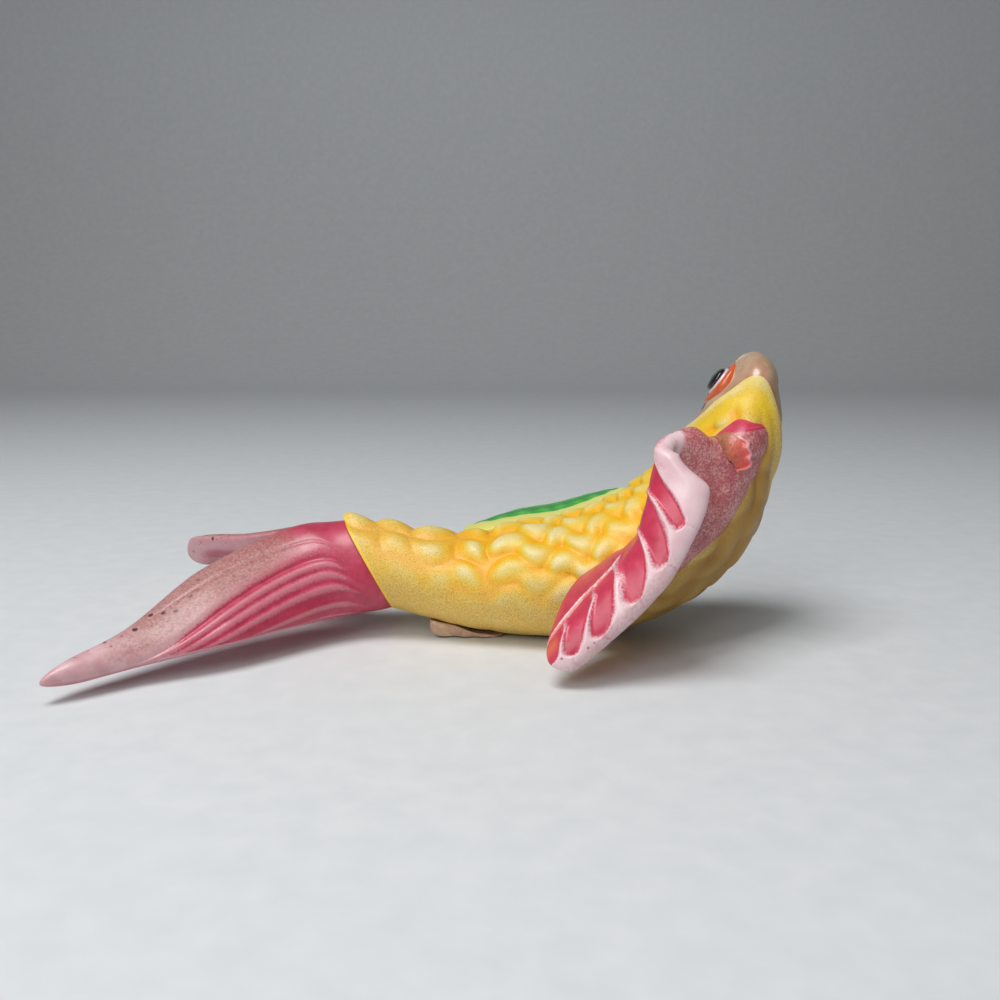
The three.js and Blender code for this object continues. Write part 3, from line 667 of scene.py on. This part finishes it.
# The rays start at the seat, at these degrees above the outer edge. Each runs out at that edge, at a share
# of the leaf's length that grows with the degrees.
RAYS = np.array([14, 36, 60, 75, 88])
RAY_WIDTH = 5.5
RUN_OUT = 0.297
RUN_OUT_LATER = 0.00508
CREST_GROOVE = 96
CREST_GROOVE_WIDTH = 4.5
CREST_LINE = 62
CREST_LINE_WIDTH = 3


def hump(x, place, width):
    """1 at a place, and a smooth fall to both sides of it."""
    return np.exp(-((x - place) / width) ** 2)


def ray_angle(t, above):
    """The angle at the seat of the ray that passes here, at an angle above the outer edge."""
    fan = np.linspace(0.1, 180, 120)[:, None]
    run_out = RUN_OUT + RUN_OUT_LATER * fan
    heights = fan * (1 - np.clip(t[None, :, 0] / run_out, 0, 1) ** 3)
    return np.stack([np.interp(above[k], heights[:, k], fan[:, 0]) for k in range(len(t))])


def tail_leaf(name, side, leaf):
    """One leaf of the tail, from its seat on the body to its rounded tip."""
    falls, widths, tip_rise, tip_slope = leaf
    t = np.sin(np.linspace(0, np.pi / 2, 260))[:, None]
    around = full_turn(220)[None, :]
    middle, onward, front, thick, tall, _ = (value[0] for value in fish_section(np.zeros(1)))
    stretch = np.linalg.norm(front)
    root = middle - onward * SEAT_GAP * stretch - front * TAIL_STEP / 2
    stations = [*LOBE_STATIONS, (1, 1, tip_slope, *TIP_SWELL)]
    middles = [root]
    slopes = [-front / stretch]
    sizes = [((thick - TAIL_STEP / 2) * stretch, tall - TAIL_STEP / 2, 0)]
    for (back, out, slope, swell, under), fall, width in zip(stations, falls, widths):
        height = root[2] - fall * (root[2] - tip_rise)
        middles.append((root[0] - back * TAIL_LENGTH, side * out * TAIL_SPREAD, height))
        slopes.append((slope[0], side * slope[1], slope[2]))
        sizes.append((width * LOBE_WIDTH / 2, swell * LOBE_SWELL, under * LOBE_SWELL))
    slope = smooth_run(slopes, t)
    slope /= np.linalg.norm(slope, axis=-1, keepdims=True)
    square = np.cross(slope, direction(middles, t)) * side
    square /= np.linalg.norm(square, axis=-1, keepdims=True)
    sideways = np.array((0, side, 0))
    out = sideways + (square - sideways) * ease(t, 0, 0.2)[..., None]
    half, swell, under = (smooth_run(sizes, t) * quarter_round(1 - t, 0.12)[..., None]).transpose(2, 0, 1)

    # The rays are combed into the face, and a fine line is drawn where it turns over into the edge.
    from_crest = np.minimum(around, 2 * np.pi - around)
    above = 180 - np.degrees(from_crest) + 0 * t
    seat_angle = ray_angle(t, above)
    ray = hump(np.abs(seat_angle[..., None] - RAYS).min(-1), 0, RAY_WIDTH)
    groove = hump(seat_angle, CREST_GROOVE, CREST_GROOVE_WIDTH)
    on_face = ease(np.sin(around), 0.0, 0.25) + 0 * t
    in_fan = 1 - ease(seat_angle, 92, 108)
    crest_line = hump(np.degrees(around), CREST_LINE, CREST_LINE_WIDTH)
    crest_line = crest_line * within(t, (0.02, 0.1), (0.5, 0.75))
    comb = RAY_RELIEF * (in_fan * (ray - 0.6) - 0.9 * groove - 0.6 * crest_line)
    comb = comb * ease(t, 0.02, 0.25) * quarter_round(1 - t, 0.2) * on_face
    points = (smooth_run(middles, t) - slope * (half * np.cos(around))[..., None]
              + out * (np.where(around < np.pi, swell + comb, under) * np.sin(around))[..., None])
    points += onward * (stretch * seat_line(from_crest) * (1 - ease(t, 0, 0.22)))[..., None]
    points[..., 1] = side * np.maximum(side * points[..., 1], SEAT_GAP / 2)

    # Deep pink fades out from the body and down the grooves. The crest is soiled and the tip specked.
    on_crest = ease(seat_angle, 86, 118)
    near_body = 1.0 - ease(t, -0.15, 0.55 + 0.1 * (1 - on_crest))
    in_grooves = np.maximum(in_fan, groove) * (1 - ease(t, 0.5, 0.82)) * ease(above, 2, 9)
    edge_strip = (1 - ease(np.degrees(from_crest), 52, 64)) * (1 - ease(t, 0.2, 0.5))
    deep_face = np.maximum.reduce([near_body, in_grooves, 0.7 * crest_line, edge_strip])
    under_streak = hump(np.cos(around), 0.1, 0.5) * (1 - ease(t, 0.75, 0.95))
    deep_back = np.maximum(0.8 * near_body, 0.9 * under_streak)
    soiled = ease(seat_angle, 80, 125) * ease(t, 0.06, 0.4) * (1 - 0.75 * ease(t, 0.6, 0.95))
    marks = {
        "deep": deep_face * on_face + deep_back * (1 - on_face),
        "ray": ray * in_fan * on_face * within(t, (0.05, 0.2), (0.75, 0.95)),
        "rosy": (1 - ease(t, 0.2, 0.75)) * on_face + 0.6 * (1 - on_face),
        "soiled": soiled * on_face,
        "specks": np.maximum(ease(t, 0.3, 0.7) * ease(np.cos(around), -0.6, 0.3), ease(t, 0.985, 0.995)),
    }
    return clay_skin(name, points, marks)


ROSY_PINK = paint(200, 112, 124)
RAY_PINK = paint(212, 136, 148)
GRIME_BROWN = paint(146, 92, 84)
GRIME_PALE = paint(188, 138, 130)
SHADE_MAUVE = paint(166, 80, 86)
SHADE_ROSE = paint(194, 108, 112)
SHADE_PALE = paint(220, 160, 156)
RUST = paint(216, 116, 80)
SPECK_BROWN = paint(150, 96, 82)
SPECK_DARK = paint(84, 40, 44)
FRESH_BROWN = paint(166, 104, 76)
FRESH_CORAL = paint(226, 100, 90)
FRESH_RED = paint(244, 86, 88)
CHIP_EDGE_PINK = paint(238, 170, 176)


def fin_finish(name, pale_low, pale_high, rich_low, rich_high):
    """Deep pink over pale pink, which meet in a dry-brushed edge, with shade, dust, specks and chips."""
    fin = Finish(name, roughness=0.42, varnish=0.3)
    pale = fin.blend(fin.grain(2.2), (0.3, pale_low), (0.7, pale_high))
    rich = fin.blend(fin.grain(1.6), (0.3, rich_low), (0.7, rich_high))
    pale = fin.over(pale, ROSY_PINK, fin.rise(fin.mark("rosy"), 0.0, 0.9, 0.85))
    brushed = fin.uneven(fin.uneven(fin.mark("deep"), 0.25, 0.7), 1.6, 0.5)
    colour = fin.over(pale, rich, fin.rise(brushed, 0.25, 0.75))
    dry = fin.uneven(fin.mark("ray"), 0.3, 0.8)
    colour = fin.over(colour, RAY_PINK, fin.rise(dry, 0.25, 1.0, 0.7))
    grime = fin.blend(fin.grain(0.35), (0.35, GRIME_BROWN), (0.65, GRIME_PALE))
    soiled = fin.sum(fin.mark("soiled"), fin.grain(0.4), 0.4)
    colour = fin.over(colour, grime, fin.rise(soiled, 0.5, 1.15, 0.8))
    fibres = fin.sum(fin.grain(0.3), fin.grain(2.5), 0.6)
    shaded = fin.blend(fibres, (0.55, SHADE_MAUVE), (0.8, SHADE_ROSE), (1.0, SHADE_PALE))
    shade = fin.uneven(fin.mark("mauve"), 0.6, 0.25)
    colour = fin.over(colour, shaded, fin.rise(shade, 0.2, 0.8))
    colour = fin.over(colour, RUST, fin.mark("rust"))
    specked = fin.pits(colour, SPECK_BROWN, spacing=1.6, share=0.3, size=0.7)
    specked = fin.pits(specked, SPECK_DARK, spacing=3, share=0.3, size=1.2)
    colour = fin.over(colour, specked, fin.mark("specks"))
    bared = fin.uneven(fin.mark("bared"), 0.35, 0.7)
    fresh = fin.blend(bared, (0.3, FRESH_BROWN), (0.55, FRESH_CORAL), (0.9, FRESH_RED))
    colour = fin.over(colour, fresh, fin.rise(fin.mark("chip"), 0.03, 0.1))
    colour = fin.over(colour, CHIP_EDGE_PINK, fin.mark("chip_edge"))
    rough = fin.times(fin.grain(0.4), fin.mark("chip"))
    return fin.done(colour, [(fin.grain(0.35), 0.03), (fin.grain(3), 0.15), (rough, 0.5)])


tail_paint = fin_finish("tail_paint", pale_low=paint(204, 152, 158), pale_high=paint(222, 182, 186),
                        rich_low=paint(172, 44, 72), rich_high=paint(196, 62, 92))
set_on_fish(tail_leaf("tail_leaf_lower", -1, LOWER_LEAF), "tail_lower_lobe", tail_paint)
set_on_fish(tail_leaf("tail_leaf_upper", 1, UPPER_LEAF), "tail_upper_lobe", tail_paint)

# Belly fin. A thick sheet of clay that leaves the belly towards the tail and folds back like a lapel,
# with flutes pressed into the fold. It has snapped at the root and is glued on again, with an open chip.
BELLY = -math.pi / 2
BELLY_FIN_START = 17
BELLY_FIN_END = 85
BELLY_FIN_FLARE = 25
BELLY_FIN_REACH = 22
BELLY_FIN_ROOT = 13
BELLY_FIN_RIM = 5.4
SHEET_SINK = 5
FLUTE_DEPTH = 0.9
CHIP_DEPTH = 0.8
CHIP_EDGE_RELIEF = 0.25
ROOT_SWELL = 1.2
# On the sheet, u runs along the root from the throat to the belly, and v from the root to the rim, both
# from 0 to 1. These are shares of the sheet.
ROOT_ROUND = 0.14
LEAD_IN = 0.07
RIM_CORNER = 0.14
CHIP_FIRST = 0.045
CHIP_LONG = 0.17
CHIP_WIDE = 0.08
CHIP_LEAST = 0.012
CHIP_END = (0.2, 0.222)
CRACK_OPEN = 0.0024
CRACK_GLUED = 0.0006
# Steps from the root to the crest of the fold and to the rim, from the throat to the belly.
CREST_STEPS = [
    (-1.06, 0.56, -0.17),
    (-0.93, 0.45, 0.06),
    (-0.68, 0.51, 0.3),
    (-0.33, 0.53, 0.33),
    (-0.58, 0.9, -0.41),
]
RIM_STEPS = [
    (-0.76, 0.93, -0.42),
    (-0.46, 0.9, -0.04),
    (-0.28, 0.92, 0.1),
    (-0.13, 0.98, -0.05),
    (-0.34, 1.08, -0.64),
]
STEP_SIZE = np.array((BELLY_FIN_FLARE, -BELLY_FIN_REACH, BELLY_FIN_REACH))
# Where the ribs between the flutes cross the fold and reach the rim, from the throat to the belly.
RIBS_AT_FOLD = np.array([0.06, 0.335, 0.6, 0.809, 0.872, 0.943, 1.0])
RIBS_AT_RIM = np.array([0.37, 0.535, 0.735, 0.85, 0.94, 1.0, 1.06])


def lead_in(u, v):
    """Draws the leading edge in beside the root, whose end is left standing up as a round thumb."""
    return u + LEAD_IN * within(v, (0.05, 0.125), (0.15, 0.29)) * (1 - ease(u, 0, 0.3))


def sheet_point(u, v):
    """Middle of the sheet, which leaves the root, bends over at its crest and ends at the rim."""
    # The first corner of the rim is rounded.
    v = v * (1 - RIM_CORNER * (1 - ease(u, 0, 0.22)) * ease(v, 0.5, 0.9))
    u = lead_in(u, v)
    along = SPINE_LENGTH - (BELLY_FIN_START + (BELLY_FIN_END - BELLY_FIN_START) * u)
    belly = fish_point(along, BELLY)
    root = fish_point(along, BELLY, -SHEET_SINK)
    crest = belly + smooth_run(CREST_STEPS, u) * STEP_SIZE
    rim = belly + smooth_run(RIM_STEPS, u) * STEP_SIZE
    fold = 2 * crest - 0.5 * root - 0.5 * rim
    v = v[..., None]
    return root * (1 - v) ** 2 + fold * 2 * v * (1 - v) + rim * v ** 2


def flap_line(u):
    """Where the flap next to the belly ends; it shows only near the trailing edge."""
    return np.interp(u, (0.74, 0.81, 0.9, 1), (0.3, 0.48, 0.44, 0.52))


def flutes(u, v, softness):
    """1 in the flutes of the fold and 0 on the ribs and margins between them."""
    ribs = RIBS_AT_FOLD + (RIBS_AT_RIM - RIBS_AT_FOLD) * np.clip((v - 0.6) / 0.3, 0, 1)[..., None]
    lane = np.clip((u[..., None] - ribs[..., :-1]) / np.diff(ribs, axis=-1), 0, 1).sum(-1)
    off = np.abs(lane - np.floor(lane) - 0.5) * (lane > 0) + 0.5 * (lane <= 0)
    wide = np.interp(v, (0.5, 0.62, 0.76, 0.9), (0.48, 0.46, 0.42, 0.34))
    end = np.interp(u, (0, 0.45, 0.8, 0.9, 0.95, 1), (0.93, 0.91, 0.9, 0.885, 0.85, 0.74))
    wide = wide * (1.1 * quarter_round(end + 0.02 - v, 0.1) - 0.1)
    inside = ease(wide - off, -softness, softness)
    past_flap = ease(v - flap_line(u), -0.01, 0.015)
    return inside * np.maximum(1 - ease(u, 0.76, 0.82), past_flap)


def snapped_at(u):
    """How far out the sheet has snapped across its root: less and less from the throat to the belly."""
    along_root = (0, 0.045, 0.105, 0.138, 0.173, 0.205, 0.3, 1)
    return np.interp(u, along_root, (0.15, 0.15, 0.147, 0.136, 0.108, 0.07, 0.06, 0.06))


def break_line(u):
    """The same line, found on the sheet with its leading edge drawn in."""
    v = snapped_at(u)
    for _ in range(5):
        v = snapped_at(lead_in(u, v))
    return v


def crack(u):
    """Half the width of the crack, which is open at the chip and glued tight beyond it."""
    return CRACK_GLUED + CRACK_OPEN * (1 - ease(u, 0.18, 0.24))


def chip(u, v):
    """Depth of the chip on the inner face of the root, from 0 at its rim to 1 at the crack."""
    u = lead_in(u, v)
    wide = CHIP_LEAST + CHIP_WIDE * np.sin(np.pi * np.clip((u - CHIP_FIRST) / CHIP_LONG, 0, 1)) ** 0.5
    ragged = 0.006 * np.sin(140 * u) + 0.005 * np.sin(90 * v + 60 * u)
    inside = (v - snapped_at(u) + wide + ragged) / wide
    return np.clip(inside, -1, 1) * within(u, (CHIP_FIRST, 0.06), CHIP_END)


def chip_edge(u, v, width):
    """1 on the rim of the chip, which lies in the stump."""
    return hump(chip(u, v), 0, width) * within(u, (0.04, 0.06), CHIP_END) * (v < break_line(u))


def sheet_sides(u, v):
    """The outer and inner face of the sheet."""
    step = 0.004
    low_u, high_u = np.maximum(u - step, 0), np.minimum(u + step, 1)
    low_v, high_v = v - step, np.minimum(v + step, 1)
    along_root = sheet_point(high_u, v) - sheet_point(low_u, v)
    out = np.cross(along_root, sheet_point(u, high_v) - sheet_point(u, low_v))
    out /= np.linalg.norm(out, axis=-1, keepdims=True)
    thinned = ease(v, 0.1, 0.5)
    half = (BELLY_FIN_ROOT + (BELLY_FIN_RIM - BELLY_FIN_ROOT) * thinned) / 2
    rounding = quarter_round(u, 0.15 - 0.09 * thinned) * quarter_round(1 - u, 0.06)
    rounding = rounding * quarter_round(1 - v, 0.12) * quarter_round(v + ROOT_ROUND / 2, ROOT_ROUND)
    chipped = ease(chip(u, v), 0, 0.25) * (v < break_line(u))
    plump = ROOT_SWELL * (1 - ease(v, 0.02, 0.16)) * (1 - ease(u, 0.4, 0.65))
    outward = half - FLUTE_DEPTH * flutes(u, v, 0.12)
    inward = half + plump - CHIP_DEPTH * chipped + CHIP_EDGE_RELIEF * chip_edge(u, v, 0.1)
    middle = sheet_point(u, v)
    return middle + out * (outward * rounding)[..., None], middle - out * (inward * rounding)[..., None]


def fin_piece(name, low, high, count):
    """The stretch of the sheet between two lines across it."""
    u = (1 - np.cos(np.linspace(0, np.pi, 300)))[:, None] / 2
    v = low(u) + (high(u) - low(u)) * np.sin(np.linspace(0, np.pi / 2, count))[None, :]
    u = u + 0 * v
    outer, inner = sheet_sides(u, v)
    throat = (1 - ease(u, 0.07, 0.17)) * ease(v, 0.3, 0.42)
    past_flap = v - flap_line(u)
    flap = (1 - ease(past_flap, -0.012, 0)) * (1 - throat)
    cap = (1 - ease(lead_in(u, v), 0.035, 0.085)) * (1 - ease(v, 0.16, 0.2))
    # The pale margin of the rim runs far down the inner face at the throat.
    pale_from = np.interp(u, (0, 0.1, 0.2, 0.32), (0.35, 0.4, 0.56, 0.84))
    in_shade = (1 - ease(v - pale_from, -0.03, 0.07)) * (1 - ease(cap, 0.3, 0.8))
    throat_shade = (1 - ease(u, 0.0, 0.03)) * within(v, (0.17, 0.2), (0.34, 0.44))
    fold_edge = ease(u, 0.8, 0.86) * hump(past_flap, 0.01, 0.012)
    rusty = ease(u, 0.955, 0.975) * hump(v, 0.62, 0.06)
    soiled = 0.55 * ease(v, 0.75, 0.95) * ease(u, 0.4, 0.7)
    chipped = np.maximum(chip(u, v), 0) * (v < break_line(u))
    # Each mark has its values on the outer and on the inner face.
    marks = {
        "deep": (np.maximum(flutes(u, v, 0.24), flap), 1.2 * cap),
        "mauve": (throat_shade, in_shade),
        "soiled": (soiled, 0 * u),
        "specks": (ease(u, 0.86, 0.95) * ease(v, 0.6, 0.7), 0.3 * ease(v, 0.1, 0.5)),
        "rust": (0.8 * np.maximum(rusty, 0.7 * fold_edge), 0 * u),
        "chip": (0 * u, chipped),
        "bared": (0 * u, 3 * (lead_in(u, v) - 0.05) + 6 * (break_line(u) - v)),
        "chip_edge": (0 * u, chip_edge(u, v, 0.07)),
    }
    joined = {mark: np.concatenate([pair[0], pair[1][:, ::-1]], 1) for mark, pair in marks.items()}
    return clay_skin(name, np.concatenate([outer, inner[:, ::-1]], 1), joined, closed_by_fans=False)


fin_paint = fin_finish("belly_fin_paint", pale_low=paint(230, 192, 198), pale_high=paint(238, 208, 212),
                       rich_low=paint(188, 46, 74), rich_high=paint(208, 62, 92))
fin_root = fin_piece("belly_fin_stump", lambda u: 0 * u - ROOT_ROUND / 2,
                     lambda u: break_line(u) - crack(u), 100)
set_on_fish(fin_root, "belly_fin_root", fin_paint)
fin_blade = fin_piece("belly_fin_fold", lambda u: break_line(u) + crack(u), lambda u: 0 * u + 1, 160)
set_on_fish(fin_blade, "belly_fin_blade", fin_paint)

# Back fin. A strip of clay along the back, pinched thin and combed with faint rays. Its green has a
# painted highlight along the top and a line of painted shade below it; the yellow of the body laps over
# its foot.
BACK_FIN_START = 28
BACK_FIN_LENGTH = 61
BACK_FIN_TURN = math.radians(30)
BACK_FIN_LEAN = math.radians(5)
BACK_FIN_HEIGHT = 14
BACK_FIN_THICK = 3.4
BACK_FIN_RAYS = 9
BACK_FIN_SINK = 4
BACK_FIN_PRESSED = 2.5
step = (1 - np.cos(np.linspace(0, np.pi, 300)))[:, None] / 2
around = full_turn(96)[None, :]
foot = fish_point(BACK_FIN_START + step[:, 0] * BACK_FIN_LENGTH, BACK_FIN_TURN)[:, None]
out = np.array((0, math.cos(BACK_FIN_LEAN), math.sin(BACK_FIN_LEAN)))
across = np.array((0, -math.sin(BACK_FIN_LEAN), math.cos(BACK_FIN_LEAN)))
# The strip is an arch whose ends are pressed into the body.
arch = np.sin(np.pi * step) ** 0.5
pressed = BACK_FIN_PRESSED * (1 - arch)
height = BACK_FIN_HEIGHT * arch - pressed
up = -BACK_FIN_SINK - pressed + (height + BACK_FIN_SINK + pressed) * (0.5 - 0.5 * np.cos(around))
share_up = np.clip(up / np.maximum(height, 0.5), 0, 1)
ray = np.cos(2 * np.pi * BACK_FIN_RAYS * (step + 0.05 * share_up))
thin = BACK_FIN_THICK / 2 * (1 - 0.3 * share_up) * np.abs(np.sin(around)) ** 0.4 * np.sign(np.sin(around))
thin = thin * (1 + 0.07 * ray * ease(share_up, 0.05, 0.3))
back_fin = clay_skin("back_fin_strip", foot + out * up[..., None] + across * thin[..., None], {
    "edge": ease(share_up, 0.78, 0.95),
    "line": hump(share_up, 0.6, 0.12),
    "foot": 1 - ease(up, 1.6, 2.4),
    "ray": 0.5 + 0.5 * ray,
})

GREEN_DEEP = paint(28, 140, 32)
GREEN = paint(38, 164, 42)
GREEN_PALE = paint(84, 194, 78)
GREEN_SHADE_LINE = paint(20, 100, 34)
GREEN_HIGHLIGHT = paint(92, 200, 92)
FOOT_YELLOW = paint(222, 220, 116)
green = Finish("fin_green", roughness=0.4, varnish=0.35)
tone = green.sum(green.sum(-0.5, green.grain(0.5)), green.mark("ray"), 0.35)
colour = green.blend(green.sum(0.35, tone, 0.8), (0.1, GREEN_DEEP), (0.4, GREEN), (0.8, GREEN_PALE))
# A darker green line of painted shade below the rounded top of the fin.
colour = green.over(colour, GREEN_SHADE_LINE, green.times(green.mark("line"), 0.6))
# A painted highlight of pale green along the top of the fin.
edge_highlight = green.uneven(green.mark("edge"), 0.5, 0.5)
colour = green.over(colour, GREEN_HIGHLIGHT, green.rise(edge_highlight, 0.3, 1.0, 0.7))
painted_foot = green.uneven(green.mark("foot"), 0.5, 0.3)
colour = green.over(colour, FOOT_YELLOW, green.rise(painted_foot, 0.5, 0.8))
green.done(colour, [(green.grain(0.4), 0.05), (green.grain(2), 0.15)])
set_on_fish(back_fin, "back_fin", green)

# Wall pad. A wedge of buff putty, pressed between the narrow end of the body and the wall so that the
# fish sits steady. It is left bare, and has dried with a crack across it.
PAD_LENGTH = 22.5
PAD_WIDTH = 14
PAD_BACK = 12.3
PAD_DOWN = 9
PAD_TIP = 1
PAD_BEVEL = 3
PAD_SHRUNK = 0.9
PAD_CRACK = 22.5
LEAST_PUTTY = 0.2
BOXY = 0.35
length = np.linspace(0, 1, 120)[:, None]
around = full_turn(140)[None, :]
pad_x = -PAD_BACK - PAD_LENGTH * (0.5 - 0.5 * np.cos(np.pi * length))
from_heel = (pad_x + PAD_BACK + PAD_LENGTH) / PAD_LENGTH
square_turn = np.abs(np.cos(around)) ** BOXY * np.sign(np.cos(around))
square_rise = np.abs(np.sin(around)) ** BOXY * np.sign(np.sin(around))
narrowed = 0.55 + 0.45 * quarter_round(1 - from_heel, 0.35) * quarter_round(from_heel, 0.12)
pad_y = PAD_WIDTH / 2 - PAD_DOWN + PAD_WIDTH / 2 * square_turn * narrowed
pad_along = np.interp(pad_x, smooth_run(spine, spine_t)[:, 0], spine_along)
middle, _, _, thick, tall, _ = fish_section(pad_along)
under_body = middle[..., 2] - thick * np.sqrt(1 - np.clip(pad_y / tall, -0.95, 0.95) ** 2) - SEAT_GAP
foot_rise = PAD_BEVEL * (1 - quarter_round(from_heel, PAD_BEVEL / PAD_LENGTH))
foot_rise = foot_rise + PAD_TIP * ease(from_heel, 0.85, 1)
shrunk = PAD_SHRUNK * ease(from_heel, 0.3, 0.6) * ease(-pad_y, 2, 6)
pad_top = np.maximum(under_body - shrunk, foot_rise + LEAST_PUTTY)
pad_z = foot_rise + (pad_top - foot_rise) * (0.5 + 0.5 * square_rise)
pad_y = pad_y + 0.3 * np.sin(1.1 * pad_x + 2 * pad_z)
pad_rings = np.stack([pad_x + 0 * pad_y, pad_y, np.maximum(pad_z, 0)], -1)
off_crack = np.abs(pad_x + PAD_CRACK + 0.6 * np.sin(2 * pad_z))
pad = clay_skin("pad_of_putty", pad_rings, {"crack": 1 - ease(off_crack, 0.05, 0.3)})

PUTTY_BUFF = paint(186, 150, 122)
PUTTY_PALE = paint(218, 188, 160)
CRACK_BROWN = paint(120, 88, 68)
putty = Finish("pad_putty", roughness=0.8, varnish=0.0)
lumps = putty.sum(putty.grain(1.5), putty.grain(0.4), 0.4)
colour = putty.blend(lumps, (0.5, PUTTY_BUFF), (0.9, PUTTY_PALE))
cracked = putty.times(putty.mark("crack"), putty.rise(putty.grain(1.2), 0.35, 0.5))
colour = putty.over(colour, CRACK_BROWN, cracked)
putty.done(colour, [(putty.grain(0.5), 0.12), (putty.grain(2), 0.4)])
set_on_fish(pad, "wall_pad", putty)

# Table and light. The fish lies on a plain pale table that sweeps up behind it, under a broad soft lamp,
# with one further away on the side of the camera and an even pale room around. Sizes are in metres.
TABLE_FRONT = -3.0
TABLE_HALF = 4.0
TABLE_DROP = 0.0002
SWEEP_START = 0.9
SWEEP_RADIUS = 0.5
SWEEP_TOP = 3.0
bend = np.linspace(0, np.pi / 2, 24)
sweep_back = SWEEP_START + SWEEP_RADIUS * np.sin(bend)
sweep_rise = SWEEP_RADIUS * (1 - np.cos(bend))
sweep = [(TABLE_FRONT, 0.0), *zip(sweep_back, sweep_rise), (SWEEP_START + SWEEP_RADIUS, SWEEP_TOP)]
table_points = [(x, y, z - TABLE_DROP) for y, z in sweep for x in (-TABLE_HALF, TABLE_HALF)]
table_faces = [(2 * k, 2 * k + 1, 2 * k + 3, 2 * k + 2) for k in range(len(sweep) - 1)]
table_mesh = bpy.data.meshes.new("table")
table_mesh.from_pydata(table_points, [], table_faces)
table_mesh.shade_smooth()
table = bpy.data.objects.new("table", table_mesh)
scene.collection.objects.link(table)

TABLE_GREY = paint(214, 218, 220)
TABLE_PALE = paint(220, 223, 225)
table_top = Finish("table_top", roughness=0.6, varnish=0.0)
colour = table_top.blend(table_top.grain(4), (0.3, TABLE_GREY), (0.7, TABLE_PALE))
table_top.done(colour, [(table_top.grain(2), 0.05)])
table_mesh.materials.append(table_top.material)

ROOM_GREY = (0.8, 0.8, 0.8, 1)
ROOM_STRENGTH = 0.13
room = bpy.data.worlds.new("room")
room.use_nodes = True
room.node_tree.nodes["Background"].inputs["Color"].default_value = ROOM_GREY
room.node_tree.nodes["Background"].inputs["Strength"].default_value = ROOM_STRENGTH
scene.world = room


def soft_lamp(name, place, size, watts):
    """A square lamp that faces the fish."""
    lamp_data = bpy.data.lights.new(name, "AREA")
    lamp_data.size = size
    lamp_data.energy = watts
    lamp = bpy.data.objects.new(name, lamp_data)
    lamp.location = place
    lamp.rotation_euler = (-lamp.location).to_track_quat("-Z", "Y").to_euler()
    scene.collection.objects.link(lamp)


soft_lamp("lamp_above", place=(-0.25, -0.22, 0.85), size=0.45, watts=6.1)
soft_lamp("lamp_front", place=(-0.5, -1.0, 0.75), size=0.7, watts=6.0)
